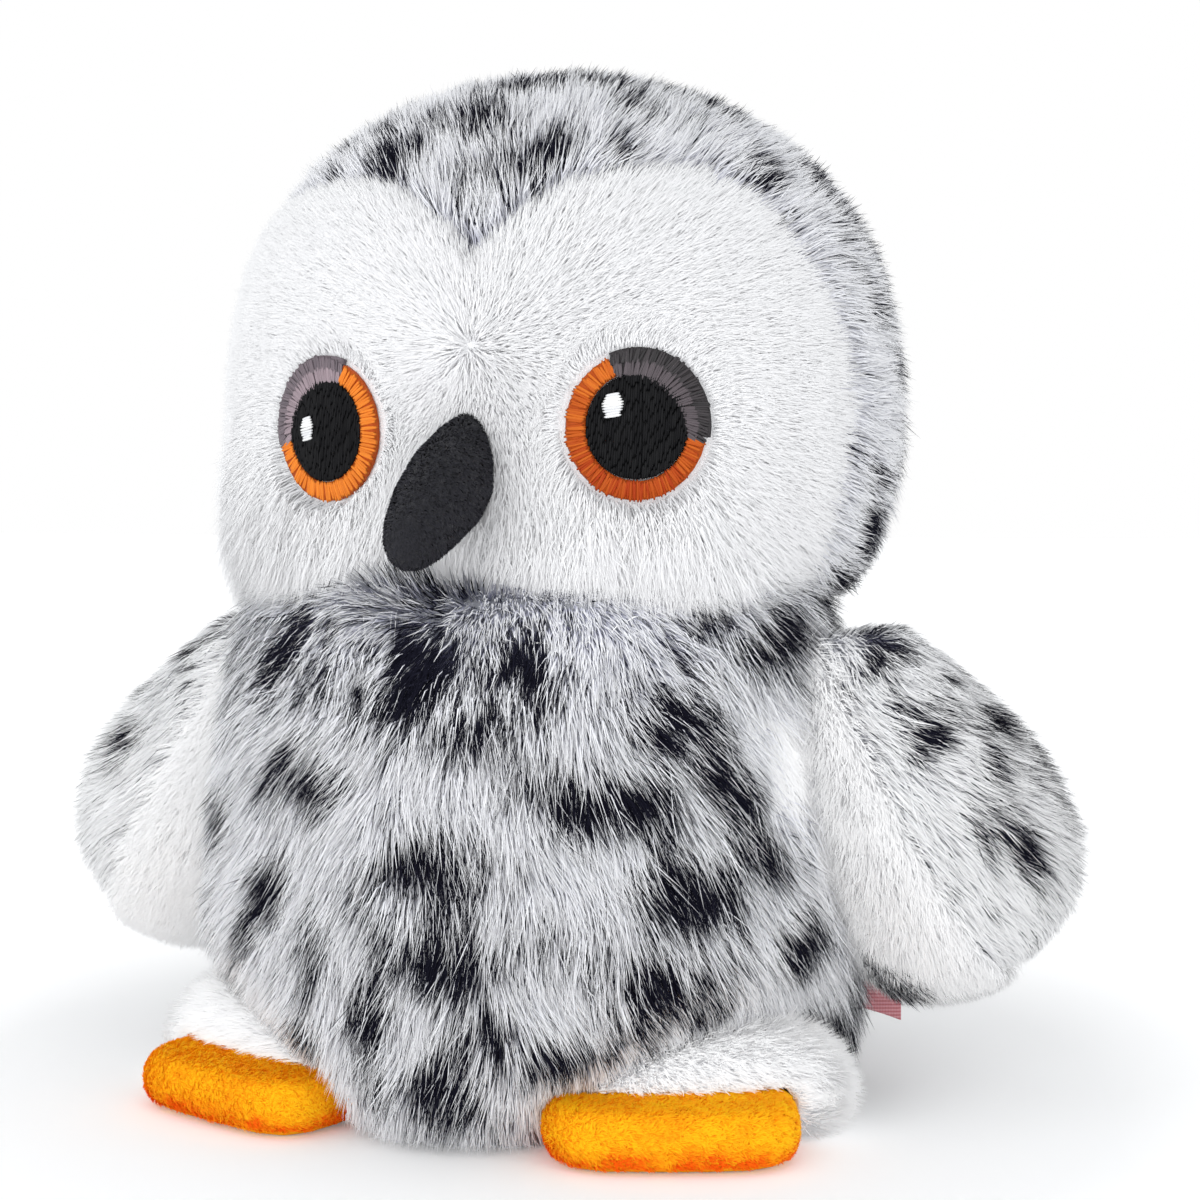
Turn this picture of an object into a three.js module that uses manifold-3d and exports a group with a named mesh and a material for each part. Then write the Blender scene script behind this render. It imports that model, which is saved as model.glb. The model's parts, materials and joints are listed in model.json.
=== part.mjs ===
// A plush snowy owl cat toy with a removable flapping module inside.
// Millimetres. The origin is the centre of the flat base, +Z is up, the owl faces -Y,
// and the owl's left wing is on the +X side.
import * as THREE from 'three';
import { mergeVertices } from 'three/addons/utils/BufferGeometryUtils.js';
import Module from 'manifold-3d';

const wasm = await Module();
wasm.setup();

// Clearances that every piece shares
const GAP = 0.3; // between pieces that touch
const RUN = 0.15; // radial, between a shaft and its bore
const OVERRUN = 4; // how far a cut runs past what it cuts

// Body
const BODY_HEIGHT = 82; // base to neck seam
const BODY_HALF_WIDTH = 49.5;
const BODY_HALF_DEPTH = 46;
const BODY_SHARES = [ // height, width, depth
  [0, 0.8, 0.8], [0.035, 0.9, 0.9], [0.13, 0.98, 0.98], [0.3, 1, 1],
  [0.52, 0.98, 0.965], [0.72, 0.95, 0.915], [0.88, 0.91, 0.85], [0.96, 0.87, 0.81],
  [1, 0.82, 0.77],
];

// Head, which stands on the neck seam a little behind the body's centre
const HEAD_HEIGHT = 83;
const HEAD_HALF_WIDTH = 53.5;
const HEAD_HALF_DEPTH = 43;
const HEAD_SETBACK = 15;
const HEAD_SHARES = [
  [0, 0.74, 0.74], [0.035, 0.86, 0.86], [0.13, 0.955, 0.955], [0.28, 1, 1], [0.45, 1, 1],
  [0.61, 0.95, 0.95], [0.75, 0.845, 0.845], [0.87, 0.66, 0.66], [0.95, 0.43, 0.43],
  [0.99, 0.19, 0.19],
];

// Face, a heart of short-pile cloth over the front of the head
const FACE_THICKNESS = 2;
const FACE_BACK = 8; // how far in front of the head's widest line the cloth ends
const FACE_PEAK_SHARE = 0.62; // height of the dip between the two lobes
const FACE_LOBE_SHARES = [0.5, 0.77]; // across and up, the top of a lobe
const FACE_SIDE_SHARES = [1.12, 0.45];
const FACE_FOOT_SHARE = 0.02;

// Beak, a suede drop that hangs from the middle of the face
const BEAK_TOP = 27; // above the neck seam
const BEAK_TIP = 4;
const BEAK_REACH = 28; // of the tip in front of the face
const BEAK_HALF_WIDTH = 5.6;
const BEAK_SHARES = [ // height from tip to top, half width, ridge, back edge
  [0, 0.2, 0.98, 0.78], [0.06, 0.48, 1.06, 0.6], [0.16, 0.7, 1.1, 0.38], [0.3, 0.9, 1.05, 0.1],
  [0.5, 1, 0.88, -0.1], [0.72, 0.86, 0.62, -0.1], [0.9, 0.5, 0.34, -0.1], [1, 0.18, 0.1, -0.1],
];

// Eyes, four stitched patches each
const EYE_SPREAD = 25.5; // from the middle of the face
const EYE_HEIGHT = 25; // above the neck seam
const EYE_TURN = 33; // degrees, how far the eye looks outward
const EYE_WIDTH_SHARE = 0.93; // an eye is a little narrower than it is tall
const PUPIL_RADIUS = 8;
const IRIS_WIDTH = 2.9;
const LID_WIDTH = 3.6;
const LID_ANGLES = [-8, 112]; // degrees, from the outer corner over the top
const THREAD_HEIGHT = 0.8;
const GLINT_RADIUS = 1.8;
const GLINT_OFFSETS = { left: [-4.1, 3.1], right: [-3.6, 0.4] }; // seen from the front

// Legs: a furry cuff over a padded foot, splayed outward
const FOOT_SPLAY = 20; // degrees, the way a foot points
const FOOT_BEARING = 38.5; // degrees, round the body from the front
const FOOT_PROUD = 15; // of the foot's front edge past the body
const FOOT_WIDTH = 38;
const FOOT_LENGTH = 34;
const FOOT_THICKNESS = 8.5;
const FOOT_ROUND = 2;
const FOOT_SQUARENESS = 4;
const CUFF_HALF_WIDTH = 26;
const CUFF_HALF_DEPTH = 15;
const CUFF_HEIGHT = 18;
const CUFF_SETBACK = 25; // of the cuff's centre behind the foot's front edge

// Wing pad, which hangs from the shoulder beside the body
const WING_RISE = 1; // of the wing's top above the neck seam
const WING_INSET = 7.5; // of the shoulder inside the body's widest line
const WING_LENGTH = 69;
const WING_SPREAD = 29; // degrees, out from hanging straight down
const WING_HALF_THICKNESS = 16.5;
const WING_HALF_CHORD = 20;
const WING_SETBACK = 9; // of the wing's centre behind the body's
const WING_SHARES = [ // along the wing, thickness, chord
  [0, 0.12, 0.3], [0.05, 0.28, 0.5], [0.18, 0.54, 0.78], [0.4, 0.86, 0.98], [0.65, 1.04, 1.04],
  [0.83, 1, 0.95], [0.94, 0.75, 0.7], [0.985, 0.4, 0.38],
];
const LINING_THICKNESS = 1.5;
const LINING_EDGE_SHARE = 0.12; // how far past the wing's middle the white lining reaches
const FLAP_RANGE = 20; // degrees of one wing beat

// Module housing, a moulded box in the body's pocket
const CASE_HALF_WIDTH = 28;
const CASE_RISE = 1; // of the housing's middle above the middle of the body
const CASE_HEIGHT = 56;
const CASE_FRONT = -9;
const CASE_DEPTH = 36;
const CASE_WALL = 1.8;
const CASE_CORNER = 5;
const SCREW_INSET = 3.5; // of a screw from the two outer faces of its corner
const BOSS_RADIUS = 2.8;
const SCREW_RADIUS = 1.2;
const SCREW_HEAD_RADIUS = 2.5;
const SCREW_HEAD_HEIGHT = 1.6;
const SCREW_LENGTH = 24;

// Layers of the drive, from the front of the housing to the motor
const LEVER_THICKNESS = 2;
const YOKE_THICKNESS = 1.6;
const GEAR_THICKNESS = 2.4;
const WHEEL_THICKNESS = 2;
const PLATE_THICKNESS = 1.6;
const LAYER_GAP = 0.6;

// Wing levers and the yoke that drives them
const PIVOT_SPREAD = 21;
const PIVOT_DROP = 10; // of the lever pivots below the top of the housing
const PIVOT_RADIUS = 1.5;
const HUB_RADIUS = 4.2;
const LEVER_WIDTH = 6;
const PADDLE_PROUD = 7.75; // of the paddle's middle outside the body's widest line
const LEVER_ANGLE = -25; // degrees, below level
const PADDLE_RADIUS = 7.5;
const TAIL_LENGTH = 9; // pivot to the pin that the yoke pushes
const TAIL_PIN_RADIUS = 1.1;
const YOKE_STEM_HALF_WIDTH = 7.2;
const YOKE_BAR_HEIGHT = 8;
const POST_RADIUS = 1.1;
const POST_SPREAD = 4.5;

// Gear train
const TOOTH_MODULE = 0.7;
const PINION_TEETH = 10;
const WHEEL_TEETH = 30;
const COMPOUND_BEARING = -30; // degrees, from the crank axis
const MOTOR_BEARING = -135; // degrees, from the compound axis
const AXLE_RADIUS = 1.1;
const CRANK_PIN_RADIUS = 1;
const MOTOR_SHAFT_RADIUS = 0.75;
const HUB_WALL = 0.75;
const TOOTH_SHARES = [ // angle of a tooth's edge as a share of the pitch, and height in modules
  [-0.33, -1.1], [-0.11, 0.8], [0.11, 0.8], [0.33, -1.1],
];

// Motor, battery, board and what the board carries
const MOTOR_RADIUS = 6;
const MOTOR_LENGTH = 15;
const MOTOR_CLEARANCE = 0.8; // above the housing's floor
const BATTERY_WIDTH = 20;
const BATTERY_CLEARANCE = 5.2; // below the housing's top wall
const BATTERY_THICKNESS = 7;
const BOARD_THICKNESS = 1.6;
const BOARD_REAR_SPACE = 7.4; // behind the board, to the rear wall
const BOARD_BOTTOM = 17; // above the housing's bottom
const SPEAKER_RADIUS = 9;
const SPEAKER_THICKNESS = 4.8;
const SOCKET_WIDTH = 9;
const SOCKET_HEIGHT = 3.2;
const SOCKET_WALL = 0.5;
const SWITCH_WIDTH = 8.6;
const SWITCH_HEIGHT = 3.6;
const KNOB_WIDTH = 2;
const KNOB_TRAVEL = 2;
const KNOB_PROUD = 1.2;
const LED_RADIUS = 1.5;
const CHIP_SIZE = 7;
const CHIP_THICKNESS = 1.2;
const SENSOR_RADIUS = 2.4;
const SENSOR_LENGTH = 9;

// Pocket flap on the back, with its hook and loop strips
const FLAP_HALF_WIDTH = 33;
const FLAP_BOTTOM = 7;
const FLAP_DROP = 5; // of the flap's hinge edge below the neck seam
const FLAP_THICKNESS = 3;
const STRIP_THICKNESS = 0.7;
const STRIP_HEIGHT = 5;
const STRIP_HALF_WIDTH = 22;

// Blank seam label at the side
const LABEL_WIDTH = 6;
const LABEL_THICKNESS = 0.9;
const LABEL_LENGTH = 13;
const LABEL_HEIGHT = 11; // of its lower edge above the base
const LABEL_BEARING = 19; // degrees, behind the side

const radians = (degrees) => (degrees * Math.PI) / 180;

// Solids

function solidOf(geometry) {
  geometry.deleteAttribute('normal');
  geometry.deleteAttribute('uv');
  const merged = mergeVertices(geometry.index ? geometry.toNonIndexed() : geometry, 1e-4);
  return new wasm.Manifold(new wasm.Mesh({
    numProp: 3,
    vertProperties: new Float32Array(merged.attributes.position.array),
    triVerts: new Uint32Array(merged.index.array),
  }));
}

function geometryOf(solid) {
  const mesh = solid.getMesh();
  const geometry = new THREE.BufferGeometry();
  geometry.setAttribute('position', new THREE.BufferAttribute(mesh.vertProperties, 3));
  geometry.setIndex(new THREE.BufferAttribute(mesh.triVerts, 1));
  return geometry;
}

function box(x0, x1, y0, y1, z0, z1) {
  const geometry = new THREE.BoxGeometry(x1 - x0, y1 - y0, z1 - z0);
  geometry.translate((x0 + x1) / 2, (y0 + y1) / 2, (z0 + z1) / 2);
  return solidOf(geometry);
}

// A round bar along Y between two faces
function bar(x, z, radius, y0, y1, sides = 14) {
  const geometry = new THREE.CylinderGeometry(radius, radius, y1 - y0, sides);
  geometry.translate(x, (y0 + y1) / 2, z);
  return solidOf(geometry);
}

// A flat outline in the XZ plane, given thickness along Y
function plate(shape, y0, y1, curveSegments = 4) {
  const geometry = new THREE.ExtrudeGeometry(shape, {
    depth: y1 - y0, bevelEnabled: false, curveSegments,
  });
  geometry.rotateX(Math.PI / 2);
  geometry.translate(0, y1, 0);
  return solidOf(geometry);
}

function roundedOutline(x0, x1, z0, z1, radius) {
  const shape = new THREE.Shape();
  shape.moveTo(x0 + radius, z0);
  shape.lineTo(x1 - radius, z0);
  shape.absarc(x1 - radius, z0 + radius, radius, -Math.PI / 2, 0);
  shape.lineTo(x1, z1 - radius);
  shape.absarc(x1 - radius, z1 - radius, radius, 0, Math.PI / 2);
  shape.lineTo(x0 + radius, z1);
  shape.absarc(x0 + radius, z1 - radius, radius, Math.PI / 2, Math.PI);
  shape.lineTo(x0, z0 + radius);
  shape.absarc(x0 + radius, z0 + radius, radius, Math.PI, Math.PI * 1.5);
  return shape;
}

// A closed skin over level rings: each ring has a height, two half sizes and a centre
function loft(rings, sides, apex, power = 2) {
  const positions = [];
  for (const ring of rings) {
    for (let i = 0; i < sides; i += 1) {
      const angle = (2 * Math.PI * i) / sides;
      const across = Math.abs(Math.cos(angle)) ** (2 / power) * Math.sign(Math.cos(angle));
      const along = Math.abs(Math.sin(angle)) ** (2 / power) * Math.sign(Math.sin(angle));
      positions.push((ring.x ?? 0) + ring.a * across, (ring.y ?? 0) + ring.b * along, ring.z);
    }
  }
  const first = rings[0];
  const last = rings[rings.length - 1];
  const foot = positions.push(first.x ?? 0, first.y ?? 0, first.z) / 3 - 1;
  const top = positions.push(last.x ?? 0, last.y ?? 0, apex ?? last.z) / 3 - 1;
  const triangles = [];
  for (let i = 0; i < sides; i += 1) {
    const next = (i + 1) % sides;
    for (let j = 0; j + 1 < rings.length; j += 1) {
      const low = j * sides;
      const high = low + sides;
      triangles.push(low + i, low + next, high + next, low + i, high + next, high + i);
    }
    const rim = (rings.length - 1) * sides;
    triangles.push(foot, next, i, top, rim + i, rim + next);
  }
  const geometry = new THREE.BufferGeometry();
  geometry.setAttribute('position', new THREE.Float32BufferAttribute(positions, 3));
  geometry.setIndex(triangles);
  return solidOf(geometry);
}

// Smooth rings through a table of shares of a height, a width and a depth
function smoothRings(shares, steps) {
  const knots = shares.map(([z, a, b]) => new THREE.Vector3(a, b, z));
  const curve = new THREE.CatmullRomCurve3(knots, false, 'centripetal');
  return curve.getPoints(steps).map((point) => ({ z: point.z, a: point.x, b: point.y }));
}

// Soft forms

const bodyRings = smoothRings(BODY_SHARES, 12);
const headRings = smoothRings(HEAD_SHARES, 14);
const wingRings = smoothRings(WING_SHARES, 10);
const neck = BODY_HEIGHT + GAP;
const faceSurface = FACE_THICKNESS + GAP * 2;

function bodyForm(grow = 0, sides = 34) {
  const rings = bodyRings.map((ring) => ({
    z: ring.z * (BODY_HEIGHT + 2 * grow) - grow,
    a: ring.a * BODY_HALF_WIDTH + grow,
    b: ring.b * BODY_HALF_DEPTH + grow,
  }));
  return loft(rings, sides);
}

function headForm(grow = 0, sides = 34) {
  const rings = headRings.map((ring) => ({
    z: neck + ring.z * (HEAD_HEIGHT + 2 * grow) - grow,
    a: ring.a * HEAD_HALF_WIDTH + grow,
    b: ring.b * HEAD_HALF_DEPTH + grow,
    y: HEAD_SETBACK,
  }));
  return loft(rings, sides, neck + HEAD_HEIGHT + grow, 2.15);
}

// The front of the head at a height above the neck seam
function headFront(height) {
  const share = height / HEAD_HEIGHT;
  const above = headRings.findIndex((ring) => ring.z >= share);
  const low = headRings[above - 1];
  const high = headRings[above];
  const part = (share - low.z) / (high.z - low.z);
  return HEAD_SETBACK - (low.b + part * (high.b - low.b)) * HEAD_HALF_DEPTH;
}

function makeFace() {
  const across = (share) => share * HEAD_HALF_WIDTH;
  const up = (share) => neck + share * HEAD_HEIGHT;
  const [lobeX, lobeZ] = FACE_LOBE_SHARES;
  const [sideX, sideZ] = FACE_SIDE_SHARES;
  const heart = new THREE.Shape();
  heart.moveTo(0, up(FACE_PEAK_SHARE));
  heart.bezierCurveTo(
    across(lobeX / 6), up(FACE_PEAK_SHARE), across(lobeX / 3), up(lobeZ), across(lobeX), up(lobeZ),
  );
  heart.bezierCurveTo(
    across((lobeX + sideX) / 2), up(lobeZ), across(sideX), up((lobeZ + sideZ) / 2),
    across(sideX), up(sideZ),
  );
  heart.lineTo(across(sideX), up(FACE_FOOT_SHARE));
  heart.lineTo(across(-sideX), up(FACE_FOOT_SHARE));
  heart.lineTo(across(-sideX), up(sideZ));
  heart.bezierCurveTo(
    across(-sideX), up((lobeZ + sideZ) / 2), across(-(lobeX + sideX) / 2), up(lobeZ),
    across(-lobeX), up(lobeZ),
  );
  heart.bezierCurveTo(
    across(-lobeX / 3), up(lobeZ), across(-lobeX / 6), up(FACE_PEAK_SHARE), 0, up(FACE_PEAK_SHARE),
  );
  const front = HEAD_SETBACK - HEAD_HALF_DEPTH - FACE_THICKNESS - OVERRUN;
  const cloth = headForm(GAP + FACE_THICKNESS).subtract(headForm(GAP));
  return cloth.intersect(plate(heart, front, HEAD_SETBACK - FACE_BACK, 8));
}

function makeBeak() {
  const span = BEAK_TOP - BEAK_TIP;
  const face = headFront((BEAK_TOP + BEAK_TIP) / 2) - FACE_THICKNESS;
  const rings = BEAK_SHARES.map(([height, width, ridge, back]) => ({
    z: neck + BEAK_TIP + height * span,
    a: width * BEAK_HALF_WIDTH,
    y: face - ((ridge + back) / 2) * BEAK_REACH,
    b: ((ridge - back) / 2) * BEAK_REACH,
  }));
  return loft(rings, 18).subtract(headForm(faceSurface));
}

function ringSector(inner, outer, fromAngle, toAngle) {
  const shape = new THREE.Shape();
  shape.absarc(0, 0, outer, radians(fromAngle), radians(toAngle), false);
  shape.absarc(0, 0, inner, radians(toAngle), radians(fromAngle), true);
  return shape;
}

// One stitched patch: an outline seen along the eye's axis, laid on the curved face
function eyePatch(shape, side, inner, outer) {
  const shaft = EYE_SPREAD;
  const geometry = new THREE.ExtrudeGeometry(shape, {
    depth: shaft, bevelEnabled: false, curveSegments: 10,
  });
  geometry.scale(EYE_WIDTH_SHARE, 1, 1);
  geometry.rotateX(Math.PI / 2);
  geometry.rotateZ(radians(side * EYE_TURN));
  const reach = headFront(EYE_HEIGHT) + EYE_SPREAD / 2;
  const spread = EYE_SPREAD - (shaft * Math.sin(radians(EYE_TURN))) / 2;
  geometry.translate(side * spread, reach, neck + EYE_HEIGHT);
  const prism = solidOf(geometry);
  return prism.intersect(headForm(outer)).subtract(headForm(inner));
}

function makeEye(name, side) {
  const raised = faceSurface + THREAD_HEIGHT;
  const iris = PUPIL_RADIUS + GAP;
  const [lidStart, lidEnd] = side > 0 ? LID_ANGLES : [180 - LID_ANGLES[1], 180 - LID_ANGLES[0]];
  const slit = THREE.MathUtils.radToDeg(GAP / iris) * 1.6;
  const pupil = new THREE.Shape().absarc(0, 0, PUPIL_RADIUS, 0, 2 * Math.PI);
  const [glintX, glintZ] = GLINT_OFFSETS[name];
  const glint = new THREE.Shape().absarc(glintX, glintZ, GLINT_RADIUS, 0, 2 * Math.PI);
  const ring = ringSector(iris, iris + IRIS_WIDTH, lidEnd + slit, lidStart + 360 - slit);
  const lid = ringSector(iris, iris + LID_WIDTH, lidStart, lidEnd);
  return {
    pupil: eyePatch(pupil, side, faceSurface, raised),
    iris: eyePatch(ring, side, faceSurface, raised),
    eyelid: eyePatch(lid, side, faceSurface, raised),
    highlight: eyePatch(glint, side, raised + GAP, raised + GAP + THREAD_HEIGHT),
  };
}

// The foot and the cuff are drawn facing -Y and then turned and placed
function placeLeg(solid, side) {
  const bearing = radians(FOOT_BEARING);
  const reach = BODY_HALF_DEPTH + FOOT_PROUD;
  return solid
    .rotate([0, 0, side * FOOT_SPLAY])
    .translate([side * reach * Math.sin(bearing), -reach * Math.cos(bearing), 0]);
}

function footForm(grow = 0) {
  const rings = [[0, FOOT_ROUND], [0.14, FOOT_ROUND * 0.35], [0.36, 0], [0.64, 0],
    [0.86, FOOT_ROUND * 0.35], [1, FOOT_ROUND]].map(([share, inset]) => ({
    z: share * (FOOT_THICKNESS + grow),
    a: FOOT_WIDTH / 2 - inset + grow,
    b: FOOT_LENGTH / 2 - inset + grow,
    y: FOOT_LENGTH / 2,
  }));
  return loft(rings, 24, undefined, FOOT_SQUARENESS);
}

function cuffForm() {
  const rings = [[0, 0.82], [0.08, 0.93], [0.28, 1], [0.5, 0.97], [0.7, 0.84], [0.86, 0.63],
    [0.96, 0.36]].map(([share, size]) => ({
    z: share * CUFF_HEIGHT,
    a: size * CUFF_HALF_WIDTH,
    b: size * CUFF_HALF_DEPTH,
    y: CUFF_SETBACK,
  }));
  return loft(rings, 26, CUFF_HEIGHT);
}

// The largest of the bodies that a cut left, so that no sliver stays
function largest(solid) {
  return solid.decompose().sort((one, other) => other.volume() - one.volume())[0];
}

// Wings and levers are made for the +X side; the other side is their mirror image

const caseBottom = (BODY_HEIGHT - CASE_HEIGHT) / 2 + CASE_RISE;
const caseTop = caseBottom + CASE_HEIGHT;
const pivotX = PIVOT_SPREAD;
const pivotZ = caseTop - PIVOT_DROP;
const leverReach = (BODY_HALF_WIDTH + PADDLE_PROUD - pivotX) / Math.cos(radians(LEVER_ANGLE));
const leverFront = CASE_FRONT + CASE_WALL + LAYER_GAP * 1.5;
const leverRear = leverFront + LEVER_THICKNESS;
const yokeFront = leverRear + LAYER_GAP;
const yokeRear = yokeFront + YOKE_THICKNESS;
const gearFront = yokeRear + LAYER_GAP * 1.5;
const gearRear = gearFront + GEAR_THICKNESS;
const wheelFront = gearRear + LAYER_GAP;
const wheelRear = wheelFront + WHEEL_THICKNESS;
const plateFront = wheelRear + LAYER_GAP;
const plateRear = plateFront + PLATE_THICKNESS;
const caseRear = CASE_FRONT + CASE_DEPTH;

function turnAboutPivot(solid, degrees) {
  return solid
    .translate([-pivotX, 0, -pivotZ])
    .rotate([0, -degrees, 0])
    .translate([pivotX, 0, pivotZ]);
}

// Everything that a solid passes through as the wing beats, or, backwards, what it must clear
function swept(solid, fromDegrees, toDegrees, steps) {
  let all = turnAboutPivot(solid, fromDegrees);
  for (let i = 1; i <= steps; i += 1) {
    all = all.add(turnAboutPivot(solid, fromDegrees + ((toDegrees - fromDegrees) * i) / steps));
  }
  return all;
}

function wingForm(grow = 0, sides = 22) {
  const rings = wingRings.map((ring) => ({
    z: ring.z * (WING_LENGTH + 2 * grow) - grow,
    a: ring.a * WING_HALF_THICKNESS + grow,
    b: ring.b * WING_HALF_CHORD + grow,
  }));
  return loft(rings, sides, WING_LENGTH + grow);
}

function placeWing(solid) {
  return solid
    .rotate([0, 180 - WING_SPREAD, 0])
    .translate([BODY_HALF_WIDTH - WING_INSET, WING_SETBACK, BODY_HEIGHT + WING_RISE]);
}

function leverArm(grow = 0) {
  const half = LEVER_WIDTH / 2 + grow;
  const strip = box(
    0, leverReach, leverFront - grow, leverRear + grow, -half, half,
  );
  return strip.rotate([0, -LEVER_ANGLE, 0]).translate([pivotX, 0, pivotZ]);
}

function paddle(grow = 0) {
  const x = pivotX + leverReach * Math.cos(radians(LEVER_ANGLE));
  const z = pivotZ + leverReach * Math.sin(radians(LEVER_ANGLE));
  return bar(x, z, PADDLE_RADIUS + grow, leverFront - grow, leverRear + grow, 18);
}

function makeLever() {
  const tailX = pivotX - TAIL_LENGTH;
  const tailHalf = LEVER_WIDTH / 2 - TAIL_PIN_RADIUS / 2;
  const tail = box(
    tailX, pivotX, leverFront, leverRear, pivotZ - tailHalf, pivotZ + tailHalf,
  );
  return leverArm()
    .add(paddle())
    .add(bar(pivotX, pivotZ, HUB_RADIUS, leverFront, leverRear, 18))
    .add(tail)
    .add(bar(tailX, pivotZ, tailHalf, leverFront, leverRear))
    .add(bar(tailX, pivotZ, TAIL_PIN_RADIUS, leverRear - GAP, yokeRear - GAP, 16))
    .subtract(bar(pivotX, pivotZ, PIVOT_RADIUS + RUN, CASE_FRONT, yokeRear, 18));
}

const pocketClear = GAP + RUN;
const armPassage = swept(leverArm(LAYER_GAP), 0, FLAP_RANGE, 5);
const wingKeepOut = swept(bodyForm(GAP).add(headForm(faceSurface)), 0, -FLAP_RANGE, 4);

function makeWing() {
  const socket = leverArm(GAP).add(paddle(GAP));
  return largest(placeWing(wingForm()).subtract(wingKeepOut).subtract(socket));
}

function makeLining() {
  const shell = wingForm(GAP + LINING_THICKNESS).subtract(wingForm(GAP));
  const edge = LINING_EDGE_SHARE * WING_HALF_THICKNESS;
  const reach = WING_HALF_CHORD + OVERRUN;
  // In the wing's own frame +X turns to face the body once the wing is placed
  const inner = box(-edge, reach, -reach, edge, WING_LENGTH * 0.14, WING_LENGTH + OVERRUN);
  const strip = placeWing(shell.intersect(inner));
  return largest(strip.subtract(wingKeepOut).subtract(leverArm(GAP * 2)).subtract(paddle(GAP * 2)));
}

// Body with the module's pocket and the two arm passages

function makeBody() {
  const pocket = box(
    -CASE_HALF_WIDTH - pocketClear, CASE_HALF_WIDTH + pocketClear,
    CASE_FRONT - pocketClear, BODY_HALF_DEPTH + OVERRUN,
    caseBottom - pocketClear, caseTop + pocketClear,
  );
  const passage = armPassage.subtract(box(
    -CASE_HALF_WIDTH, pivotX, CASE_FRONT, caseRear, caseBottom, caseTop,
  ));
  return bodyForm()
    .subtract(pocket)
    .subtract(passage)
    .subtract(passage.mirror([1, 0, 0]));
}

// Housing halves, which meet just behind the gear plate

// How far a screw reaches into the front half's boss
const screwBite = SCREW_LENGTH - (caseRear - SCREW_HEAD_HEIGHT - plateRear);

function screwPlaces() {
  const x = CASE_HALF_WIDTH - SCREW_INSET;
  const places = [];
  for (const side of [-1, 1]) {
    places.push([side * x, caseBottom + SCREW_INSET], [side * x, caseTop - SCREW_INSET]);
  }
  return places;
}

function caseShell(y0, y1) {
  const outline = roundedOutline(
    -CASE_HALF_WIDTH, CASE_HALF_WIDTH, caseBottom, caseTop, CASE_CORNER,
  );
  return plate(outline, y0, y1);
}

function caseHollow(y0, y1, clear = 0) {
  const inset = CASE_WALL + clear;
  const outline = roundedOutline(
    -CASE_HALF_WIDTH + inset, CASE_HALF_WIDTH - inset, caseBottom + inset, caseTop - inset,
    CASE_CORNER - CASE_WALL,
  );
  return plate(outline, y0, y1);
}

function makeCaseFront() {
  let shell = caseShell(CASE_FRONT, plateRear)
    .subtract(caseHollow(CASE_FRONT + CASE_WALL, plateRear + OVERRUN));
  for (const [x, z] of screwPlaces()) {
    shell = shell
      .add(bar(x, z, BOSS_RADIUS, CASE_FRONT + CASE_WALL / 2, plateRear))
      .subtract(bar(x, z, SCREW_RADIUS + GAP, plateRear - screwBite - GAP, plateRear + OVERRUN, 12));
  }
  for (const side of [-1, 1]) {
    shell = shell.add(bar(
      side * pivotX, pivotZ, PIVOT_RADIUS, CASE_FRONT + CASE_WALL / 2, plateFront - GAP,
    ));
    shell = shell.add(bar(
      side * pivotX, pivotZ, HUB_RADIUS - CASE_WALL, CASE_FRONT + CASE_WALL / 2,
      leverFront - GAP,
    ));
  }
  const passage = armPassage.subtract(box(
    -CASE_HALF_WIDTH, CASE_HALF_WIDTH - CASE_WALL - GAP, CASE_FRONT, caseRear, caseBottom, caseTop,
  ));
  return shell.subtract(passage).subtract(passage.mirror([1, 0, 0]));
}

function makeCaseRear() {
  const rim = plateRear + GAP;
  let shell = caseShell(rim, caseRear)
    .subtract(caseHollow(rim - OVERRUN, caseRear - CASE_WALL));
  for (const [x, z] of screwPlaces()) {
    shell = shell.add(bar(x, z, BOSS_RADIUS, rim, caseRear - CASE_WALL / 2));
  }
  for (const [x, z] of boardPosts()) {
    shell = shell.add(bar(x, z, POST_RADIUS, boardRear + GAP, caseRear - CASE_WALL / 2, 8));
  }
  for (const [x, z] of screwPlaces()) {
    shell = shell
      .subtract(bar(x, z, SCREW_RADIUS + GAP, rim - OVERRUN, caseRear + OVERRUN, 12))
      .subtract(bar(
        x, z, SCREW_HEAD_RADIUS + GAP, caseRear - SCREW_HEAD_HEIGHT - GAP, caseRear + OVERRUN,
      ));
  }
  return shell
    .subtract(socketForm(GAP, caseRear + OVERRUN))
    .subtract(bar(ledX, ledZ, LED_RADIUS + GAP, boardRear, caseRear + OVERRUN, 16))
    .subtract(knobSlot(caseRear + OVERRUN))
    .subtract(speakerHoles());
}

// Drive train

// The motor lies over the housing's floor, and the train climbs from it to the crank
const centreDistance = (TOOTH_MODULE * (PINION_TEETH + WHEEL_TEETH)) / 2;
const motorZ = caseBottom + CASE_WALL + MOTOR_CLEARANCE + MOTOR_RADIUS;
const compoundX = centreDistance * Math.cos(radians(COMPOUND_BEARING));
const compoundZ = motorZ - centreDistance * Math.sin(radians(MOTOR_BEARING));
const motorX = compoundX + centreDistance * Math.cos(radians(MOTOR_BEARING));
const trainZ = compoundZ - centreDistance * Math.sin(radians(COMPOUND_BEARING));
const yokeStroke = TAIL_LENGTH * radians(FLAP_RANGE);
const crankRadius = yokeStroke / 2;

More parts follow.
